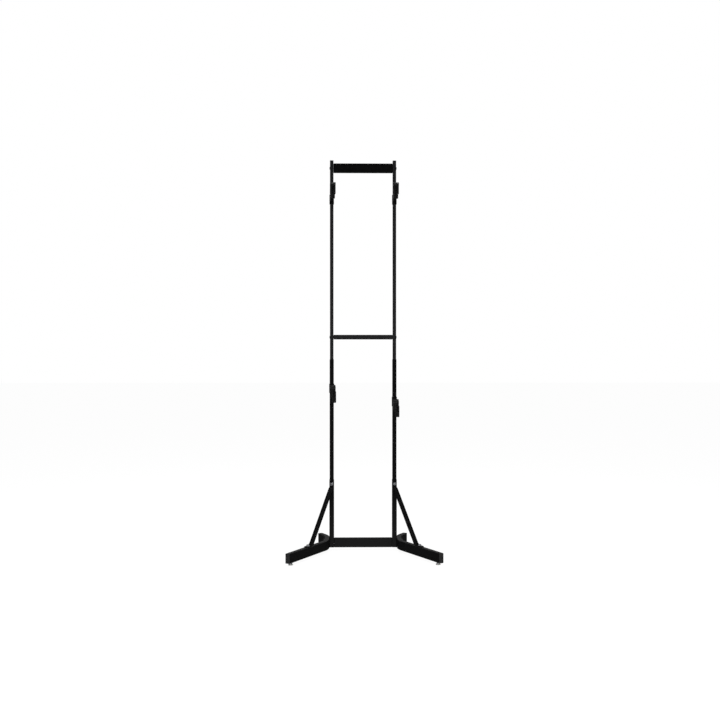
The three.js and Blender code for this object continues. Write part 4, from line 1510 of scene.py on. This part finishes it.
    def cradle_outline(self) -> Pairs:
        """The moulded cradle's side outline, with its outer corners rounded.

        Returns:
            Pairs of how far forward and up a point is from the contact point.
        """
        half_bar = self.bar.height / 2 + self.cradle_rubber
        under, over = -self.bar_drop - half_bar, -self.bar_drop + half_bar
        front, back, small, rubber = self.lip_front, self.lip_back, self.cradle_corner, self.cradle_rubber
        chin, lip, rear_end = self.chin_length / 2, self.front_lip_thickness / 2, back - self.cradle_rear
        rear_round, trough = self.rear_lip_thickness / 2, self.trough_radius
        front_angle = math.degrees(math.asin((self.front_lip - trough) / trough))
        rear_angle = -180 - math.degrees(math.asin((self.rear_lip - trough) / trough))
        points = arc_points((rear_end + small, under + small), small, 180, 270, CORNER_STEPS)
        points += [(front - 2 * self.chin_length, under), (front - self.chin_length, -self.chin_drop)]
        points += arc_points((front - chin, chin - self.chin_drop), chin, 270, 360, self.LIP_STEPS)
        points += arc_points((front - lip, self.front_lip - lip), lip, 0, 90, self.LIP_STEPS)
        points += arc_points((0, trough), trough, front_angle, rear_angle, self.TROUGH_STEPS)[1:]
        centre = (back + rear_round, self.rear_lip - rear_round)
        points += arc_points(centre, rear_round, 90, 180, self.ROUND_STEPS)[1:]
        points += arc_points((back - rubber, over + rubber), rubber, 0, -90, self.ROUND_STEPS)
        points += arc_points((rear_end + small, over - small), small, 90, 180, CORNER_STEPS)
        return points

    def build_cradle(self, shop: Workshop) -> None:
        """Makes the rubber-dipped cradle: body, ears, trough ribs and strap button.

        Args:
            shop: The finishes, trees and sizes that all pieces share.
        """
        label, stood = f"{self.label}_cradle", self.outline_matrix
        parts = [plate([self.cradle_outline()], self.cradle_width, self.cradle_bevel, stood)]
        start = self.lip_front - self.front_lip_thickness / 2
        ear = arc_points((self.pin_forward, -self.pin_drop), self.ear_radius, -90, 90, self.EAR_STEPS)
        ear = [(start, -self.pin_drop - self.ear_radius), *ear, (start, self.ear_radius - self.pin_drop)]
        for end in (-1, 1):
            place = stood @ Matrix.Translation((0, 0, end * (self.cradle_width - self.ear_thickness) / 2))
            parts.append(plate([ear], self.ear_thickness, self.ear_bevel, place))
        foot_of_button = Matrix.Translation((self.lip_back + self.button_sink, 0, 0))
        axis = stood @ foot_of_button @ Matrix.Rotation(-math.pi / 2, 4, "Y")
        neck, reach = self.button_neck_radius, self.button_neck + self.button_sink
        head = rounded_disc(self.button_diameter / 2, reach, reach + self.button_head, self.button_edge)
        button = Shell().lathe(IDENTITY, [(neck, 0), (neck, reach), *head], self.button_sides)
        parts.append(button.mesh(axis))
        angles = [math.radians(angle) for angle in self.trough_rib_angles]
        ribs = on_circle(self.trough_radius + self.trough_rib_sink, 0, angles)
        size = (*self.trough_rib, self.cradle_width - self.trough_rib_inset)
        places = [place + self.trough_radius * BACK for place in ribs]
        marks = markers(places, turn=[a + math.pi / 2 for a in angles])
        parts.append(shop.ribs(SlotName.COATING, marks, size, stood))
        body, crease = f"{self.label}_arm", self.cradle_crease
        shop.fit(f"{label}_moulding", body, SlotName.COATING, parts, label, crease=crease)

    def sway_at(self, drop: float) -> float:
        """How far the strap has swung sideways at a distance below its pin."""
        share = min(max((drop - self.sway_start) / self.sway_length, 0), 1)
        return self.side.value * self.strap_sway * eased(share)

    def strap_loops(self) -> list[Pairs]:
        """The strap's outline and its slots, seen from the front, with the pin at the origin.

        Returns:
            The outline and then the slots' loops.
        """
        length, half, corner = self.strap_drop - self.pin_drop, self.strap_width / 2, self.strap_end_radius
        steps = range(self.sway_steps + 1)
        drops = [0.0] + [self.sway_start + self.sway_length * step / self.sway_steps for step in steps]
        shift, inner, above = self.sway_at(length), half - corner, corner - length
        outline = [(self.sway_at(drop) - half, -drop) for drop in drops]
        outline += arc_points((shift - half + corner, above), corner, 180, 270, self.ROUND_STEPS)
        outline += arc_points((shift + inner, above), corner, 270, 360, self.ROUND_STEPS)
        outline += [(self.sway_at(drop) + half, -drop) for drop in reversed(drops)]
        loops = [outline]
        radius, reach = self.slot_height / 2, (self.slot_width - self.slot_height) / 2
        for number in range(self.slot_count):
            drop = self.slot_start + number * self.slot_pitch
            x = self.sway_at(drop)
            slot = arc_points((x + reach, -drop), radius, -90, 90, self.SLOT_STEPS)
            loops.append(slot + arc_points((x - reach, -drop), radius, 90, 270, self.SLOT_STEPS))
        return loops

    def build_strap(self, shop: Workshop) -> None:
        """Makes the rubber ladder strap with its knuckle, rungs and thumb tab.

        Args:
            shop: The finishes, trees and sizes that all pieces share.
        """
        label = f"{self.label}_strap"
        hung = self.head_matrix @ Matrix.Translation((0, -self.pin_forward, -self.pin_drop))
        hung = hung @ Matrix.Rotation(math.pi / 2, 4, "X")
        thickness, half = self.strap_thickness, self.strap_width / 2
        band = plate(self.strap_loops(), thickness, self.strap_bevel, hung)
        profile = rounded_disc(self.knuckle_radius, -half, half, self.knuckle_edge)
        knuckle = Shell().lathe(IDENTITY, profile, sides=32)
        parts = [band, knuckle.mesh(hung @ Matrix.Rotation(math.pi / 2, 4, "Y"))]
        rung_drops = [self.slot_start + self.slot_pitch * (n + 0.5) for n in range(self.slot_count - 1)]
        lowest = self.strap_drop - self.pin_drop - self.tab_rib_rise
        tab_drops = [lowest - number * self.tab_rib_pitch for number in range(self.tab_rib_count)]
        for drops, size in ((rung_drops, self.rung), (tab_drops, self.tab_rib)):
            places = [Vector((self.sway_at(drop), -drop, thickness / 2)) for drop in drops]
            marks = markers(places, turn=[0.0] * len(places))
            parts.append(shop.ribs(SlotName.STRAP, marks, size, hung))
        crease = self.cradle_crease
        shop.fit(f"{label}_moulding", label, SlotName.STRAP, parts, label, crease=crease)

    def build(self, shop: Workshop) -> None:
        """Makes the whole sub-assembly, and dresses the plain pin.

        Args:
            shop: The finishes, trees and sizes that all pieces share.
        """
        self.build_bar(shop)
        self.build_knob(shop)
        self.build_cradle(shop)
        self.build_strap(shop)
        shop.palette.dress(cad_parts[f"{self.label}_strap_pin"], SlotName.ZINC)


@dataclass
class Leveler:
    """One levelling foot: a ribbed nylon pad and a threaded stud with a hexagon."""

    side: Side
    end: FootEnd
    place: Vector
    stud_bottom: float = 2 * MM
    stud_top: float = 36 * MM
    stud_chamfer: float = 0.7 * MM
    thread_start: float = 10 * MM
    hex_across: float = 15 * MM
    hex_bottom: float = 4.8 * MM
    hex_height: float = 5 * MM
    hex_tip_share: float = 0.93
    pad_diameter: float = 25 * MM
    pad_thickness: float = 4.5 * MM
    pad_edge: float = 0.5 * MM
    pad_crease: float = 40.0
    rim_thickness: float = 2 * MM
    rib_count: int = 12
    rib_width: float = 1.3 * MM
    rib_height: float = 2.4 * MM
    rib_rise: float = 0.55 * MM

    def build(self, shop: Workshop) -> None:
        """Makes the pad and the stud.

        Args:
            shop: The finishes, trees and sizes that all pieces share.
        """
        label = f"{self.side.label}_{self.end.label}_leveler"
        base = Matrix.Translation((self.place.x, self.place.y, 0))
        outer, edge, rim = self.pad_diameter / 2, self.pad_edge, self.rim_thickness
        neck = (self.hex_across + self.pad_diameter) / 4
        profile = rounded_disc(outer, 0, rim, edge)[:4]
        profile += [(outer - edge * 0.4, rim - edge * 0.2), (outer - edge * 1.6, rim + edge * 0.4)]
        profile += [(neck + edge, self.pad_thickness - edge * 0.6)]
        profile += [(neck, self.pad_thickness), (neck - edge, self.pad_thickness)]
        disc = Shell().lathe(IDENTITY, profile, sides=48).mesh(base)
        angles = turns(self.rib_count)
        marks = markers(on_circle((outer + neck) / 2, rim + self.rib_rise, angles), turn=angles)
        size = (outer - neck, self.rib_width, self.rib_height)
        ribs = shop.ribs(SlotName.NYLON, marks, size, base)
        pad, crease = f"{label}_pad", self.pad_crease
        shop.fit(f"{pad}_moulding", label, SlotName.NYLON, [disc, ribs], pad, crease=crease)
        core, chamfer, top = shop.stud_core, self.stud_chamfer, self.stud_top
        corner, hex_top = self.hex_across / math.sqrt(3), self.hex_bottom + self.hex_height
        tip = corner * self.hex_tip_share
        profile = [(core, self.stud_bottom), (core, top - chamfer), (core - chamfer, top)]
        rod = Shell().lathe(base, profile, STUD_SIDES)
        flats = [(corner, self.hex_bottom + chamfer), (corner, hex_top - chamfer)]
        rod.lathe(base, [(tip, self.hex_bottom), *flats, (tip, hex_top)], HEX_SIDES)
        start = base @ Vector((0, 0, self.thread_start))
        thread = shop.thread(markers([start], axes=[UP]), top - self.thread_start - chamfer)
        stud = f"{label}_stud"
        shop.fit(f"{stud}_steel", label, SlotName.ZINC, [rod.mesh(), thread], stud)


@dataclass
class Fasteners:
    """The bolts, washers and nuts that hold the frame together."""

    feet: Sequence[FootAssembly]
    shank: float = 8 * MM
    nut_height: float = 6.5 * MM
    tail: float = 6.6 * MM
    base_spacing: float = 24 * MM
    joint_height: float = 1000 * MM
    joint_grip: float = 3.1 * MM

    # HEAD_SIZES gives the order
    HEX_HEAD = (13 * MM, 5.3 * MM, 17 * MM, 1.6 * MM)
    LOW_HEAD = (10 * MM, 0.7 * MM, 15 * MM, 1.5 * MM)
    HEAD_SIZES = ("Head_Across", "Head_Height", "Washer_Diameter", "Washer_Thickness")
    SETS = (
        ("brace_bolts", SlotName.ZINC, ("brace_upper_bolt", "brace_lower_bolt"), HEX_HEAD),
        ("frame_bolts", SlotName.BLACK_STEEL, ("base_bolt_1", "base_bolt_2", "joint_bolt"), HEX_HEAD),
        ("cap_bolts", SlotName.BLACK_STEEL, ("cross_bar_bolt", "sign_plate_bolt"), LOW_HEAD),
    )

    def places(self, foot: FootAssembly) -> list[tuple[str, Vector, Vector, float]]:
        """Where one side's bolts stand, for the right side.

        Args:
            foot: The foot assembly of that side.

        Returns:
            Node name, face, outward axis and grip of each bolt.
        """
        tab = foot.brace_tab.height
        outer_face = foot.beside_upright + foot.tube.width / 2
        base_grip = outer_face + foot.post.width / 2 + GAP + END_PLATE
        upper_face, upper_grip = UPPER_SIDE / 2, UPPER_SIDE + END_PLATE + GAP
        low, high = (foot.middle_height + sign * self.base_spacing / 2 for sign in (-1, 1))
        brace_face = Vector((0, -foot.post.width / 2 - GAP - tab, foot.brace_bolt_height))
        joint = Vector((0, LOWER_SIDE / 2, self.joint_height))
        return [
            ("base_bolt_1", Vector((outer_face, 0, low)), RIGHT, base_grip),
            ("base_bolt_2", Vector((outer_face, 0, high)), RIGHT, base_grip),
            ("cross_bar_bolt", Vector((upper_face, 0, CROSS_BAR_MIDDLE)), RIGHT, upper_grip),
            ("sign_plate_bolt", Vector((upper_face, 0, SIGN_PLATE_MIDDLE)), RIGHT, upper_grip),
            ("brace_upper_bolt", brace_face, -BACK, foot.post.width + tab + GAP),
            ("brace_lower_bolt", foot.brace_bolt(), UP, foot.wall + tab + GAP),
            ("joint_bolt", joint, BACK, self.joint_grip),
        ]

    def build(self, shop: Workshop) -> None:
        """Makes the bolts of the frame, one piece for each set.

        Args:
            shop: The finishes, trees and sizes that all pieces share.
        """
        for label, slot, names, head in self.SETS:
            points, axes, grips, nodes = [], [], [], []
            for foot in self.feet:
                for name, face, axis, grip in self.places(foot):
                    if name in names:
                        mirrored = foot.matrix.to_3x3() @ axis
                        points.append(foot.matrix @ face + mirrored * GAP)
                        axes.append(mirrored)
                        grips.append(grip + 2 * GAP)
                        nodes.append(f"{foot.side.label}_{name}")
            sizes = {"Shank_Diameter": self.shank, "Nut_Height": self.nut_height, "Tail": self.tail}
            sizes |= dict(zip(self.HEAD_SIZES, head))
            marks = markers(points, axes=axes, grip=grips)
            bolts = shop.grow(shop.repeats.bolts, slot, marks, **sizes)
            shop.fit(label, "frame", slot, [bolts], *nodes)


@dataclass
class Studio:
    """The white studio: floor, world, lamps and the camera at the photograph's angle."""

    image_side: int = 720
    focal_pixels: float = 923.7
    sensor: float = 36.0
    distance: float = 5.0
    azimuth: float = math.radians(-0.9)
    aim: Triple = (-0.0168, 0.1173, 1.055)
    horizon_rise: float = 5.25
    clip_end: float = 200.0
    floor_side: float = 60.0
    floor_sink: float = 0.2 * MM
    floor_grey: float = 0.82
    floor_glow: float = 1.08
    floor_glow_share: float = 0.86
    floor_gloss: float = 0.08
    lit_radius: Pair = (0.45, 1.3)
    lit_facing: Pair = (-0.5, 0.7)
    ambient: float = 0.45
    front_gloss: float = 0.03
    back_gloss: float = 0.25
    gloss_depth: Pair = (0.45, 1.0)

    # name, place, target, width and height, watts
    LAMPS = (
        ("key", (-2.6, -3.2, 1.0), (0, 0, 0.7), (1.6, 1.2), 62),
        ("fill", (2.7, -2.6, 0.9), (0, 0, 0.6), (1.2, 1.2), 48),
        ("top", (0, 0.2, 4.4), (0, 0, 0), (2.4, 1.6), 75),
        ("strip_left", (-2.4, 1.9, 1.4), (0, 0, 1.2), (0.5, 2.6), 10),
        ("strip_right", (2.4, 1.9, 1.4), (0, 0, 1.2), (0.5, 2.6), 10),
    )

    def floor_level(self, writer: NodeWriter, gloss: NodeSocket) -> NodeSocket:
        """How light the floor is, which falls off for gloss far out and towards the back.

        Args:
            writer: A writer on the floor's material.
            gloss: 1 for gloss rays, otherwise 0.

        Returns:
            1 for all rays but gloss.
        """
        place = writer.coordinates()
        distance = writer.add("ShaderNodeVectorMath", {"operation": "LENGTH"}, in0=place).outputs["Value"]
        near = writer.remap(distance, self.lit_radius, (1.0, self.floor_gloss), smooth=True)
        incoming = writer.add("ShaderNodeNewGeometry").outputs["Incoming"]
        backwards = writer.add("ShaderNodeSeparateXYZ", Vector=incoming).outputs["Y"]
        facing = writer.remap(backwards, self.lit_facing, (self.floor_gloss, 1.0), smooth=True)
        return writer.mix(gloss, 1.0, writer.times(near, facing))

    def build_floor(self) -> None:
        """Makes the floor, white to the camera but for the rack's soft shadow."""
        half = self.floor_side / 2
        mesh = bpy.data.meshes.new("studio_floor")
        corners = [(-half, -half), (half, -half), (half, half), (-half, half)]
        mesh.from_pydata([(x, y, -self.floor_sink) for x, y in corners], [], [(0, 1, 2, 3)])
        floor = link_piece("studio_floor", mesh)
        material = bpy.data.materials.new("studio_white")
        material.use_nodes = True
        writer = NodeWriter(material.node_tree)
        writer.tree.nodes.clear()
        rays = writer.add("ShaderNodeLightPath").outputs
        light = self.floor_level(writer, rays["Is Glossy Ray"])
        grey = writer.times(light, self.floor_grey)
        colour = writer.add("ShaderNodeCombineColor", Red=grey, Green=grey, Blue=grey)
        paint = writer.add("ShaderNodeBsdfDiffuse", Color=colour)
        strength = writer.times(light, self.floor_glow)
        glow = writer.add("ShaderNodeEmission", Color=WHITE, Strength=strength)
        seen = writer.math("MAXIMUM", rays["Is Camera Ray"], rays["Is Glossy Ray"])
        seen = writer.math("MAXIMUM", seen, rays["Is Transmission Ray"])
        share = writer.times(seen, self.floor_glow_share)
        mixed = writer.add("ShaderNodeMixShader", in0=share, in1=paint, in2=glow)
        writer.add("ShaderNodeOutputMaterial", Surface=mixed)
        floor.data.materials.append(material)

    def build_world(self) -> None:
        """Makes a world that is white to the camera, and darker to gloss from the front."""
        world = bpy.data.worlds.new("studio_world")
        bpy.context.scene.world = world
        world.use_nodes = True
        writer = NodeWriter(world.node_tree)
        writer.tree.nodes.clear()
        rays = writer.add("ShaderNodeLightPath").outputs
        depth = writer.add("ShaderNodeSeparateXYZ", Vector=writer.coordinates("Generated")).outputs["Y"]
        gloss = writer.remap(depth, self.gloss_depth, (self.front_gloss, self.back_gloss), smooth=True)
        ambient, mirrored, white = (
            writer.add("ShaderNodeBackground", Color=WHITE, Strength=strength)
            for strength in (self.ambient, gloss, 1.0)
        )
        first = writer.add("ShaderNodeMixShader", in0=rays["Is Glossy Ray"], in1=ambient, in2=mirrored)
        seen = writer.math("MAXIMUM", rays["Is Camera Ray"], rays["Is Transmission Ray"])
        second = writer.add("ShaderNodeMixShader", in0=seen, in1=first, in2=white)
        writer.add("ShaderNodeOutputWorld", Surface=second)

    def build_lamps(self) -> None:
        """Hangs a soft key, a fill, a top lamp and two strips behind the rack, each facing its target."""
        for name, place, target, size, power in self.LAMPS:
            data = bpy.data.lights.new(name, "AREA")
            data.shape = "RECTANGLE"
            data.size, data.size_y = size
            data.energy = power
            lamp = link_piece(name, data)
            lamp.location = place
            lamp.rotation_euler = (Vector(target) - Vector(place)).to_track_quat("-Z", "Y").to_euler()

    def build_camera(self) -> None:
        """Sets the camera at the photograph's viewing angle."""
        data = bpy.data.cameras.new("photo_camera")
        data.sensor_fit = "HORIZONTAL"
        data.sensor_width = self.sensor
        data.lens = self.focal_pixels * self.sensor / self.image_side
        data.shift_y = -self.horizon_rise / self.image_side
        data.clip_end = self.clip_end
        camera = link_piece("photo_camera", data)
        forward = Vector((-math.sin(self.azimuth), math.cos(self.azimuth), 0))
        camera.location = Vector(self.aim) - forward * self.distance
        camera.rotation_euler = (math.pi / 2, 0, self.azimuth)
        bpy.context.scene.camera = camera

    def build(self) -> None:
        """Sets up the whole studio."""
        self.build_floor()
        self.build_world()
        self.build_lamps()
        self.build_camera()
        bpy.context.scene.view_settings.view_transform = "Standard"


@dataclass
class Rack:
    """The whole rack: two sides, three cross members, four arms, four levelling feet and the bolts."""

    leveler_inset: float = 26 * MM
    upper_contact: float = 1912 * MM
    lower_left_contact: float = 888 * MM
    lower_right_contact: float = 816 * MM
    lower_sway: float = 6 * MM
    beam_height: float = 50 * MM
    beam_depth: float = 25 * MM
    beam_middle: float = 37 * MM
    bar_height: float = 25 * MM
    sign_height: float = 50 * MM

    @property
    def upright_y(self) -> float:
        """The uprights' centre plane, which puts the feet's two ends equally far out."""
        foot = FootAssembly(Side.RIGHT, IDENTITY)
        return (foot.front_length - foot.rear_length) * math.cos(foot.bend_angle) / 2

    def cross_members(self) -> list[CrossMember]:
        """The base beam, the middle bar and the bare sign plate.

        Returns:
            The three, which are still to be built.
        """
        low, high, y = SlotName.LOWER_PAINT, SlotName.UPPER_PAINT, self.upright_y
        return [
            CrossMember("base_beam", self.beam_height, self.beam_depth, self.beam_middle, POST_SIDE, low, y),
            CrossMember("cross_bar", self.bar_height, UPPER_SIDE, CROSS_BAR_MIDDLE, UPPER_SIDE, high, y),
            CrossMember("sign_plate", self.sign_height, UPPER_SIDE, SIGN_PLATE_MIDDLE, UPPER_SIDE, low, y),
        ]

    def arms(self) -> list[Arm]:
        """The four arms.

        Returns:
            The upper two and then the lower two, which are still to be built.
        """
        y = self.upright_y
        lower = {Side.LEFT: self.lower_left_contact, Side.RIGHT: self.lower_right_contact}
        arms = [Arm(Tier.UPPER, side, y, UPPER_SIDE, self.upper_contact, 0) for side in Side]
        arms += [Arm(Tier.LOWER, side, y, LOWER_SIDE, lower[side], self.lower_sway) for side in Side]
        return arms

    def build(self, shop: Workshop) -> None:
        """Makes every piece of the rack.

        Args:
            shop: The finishes, trees and sizes that all pieces share.
        """
        feet = [FootAssembly(side, side_matrix(side, self.upright_y)) for side in Side]
        for foot in feet:
            foot.build(shop)
            Upright(foot.side, foot.matrix).build(shop)
            for end in FootEnd:
                place = foot.matrix @ foot.leg_point(end, foot.leg_length(end) - self.leveler_inset)
                Leveler(foot.side, end, place).build(shop)
        for part in (*self.cross_members(), *self.arms(), Fasteners(feet)):
            part.build(shop)


def main() -> None:
    """Builds the studio, the finishes and the rack, in that order."""
    logging.basicConfig(level=logging.INFO, format="%(name)s: %(message)s")
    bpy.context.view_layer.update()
    Studio().build()
    palette = Palette(SurfaceEffects())
    palette.build()
    Rack().build(Workshop(palette, Repeats()))
    for name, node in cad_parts.items():
        if not node.hide_render and not name.endswith("strap_pin"):
            log.warning("%s still shows its plain solid", name)


if __name__ == "__main__":
    main()
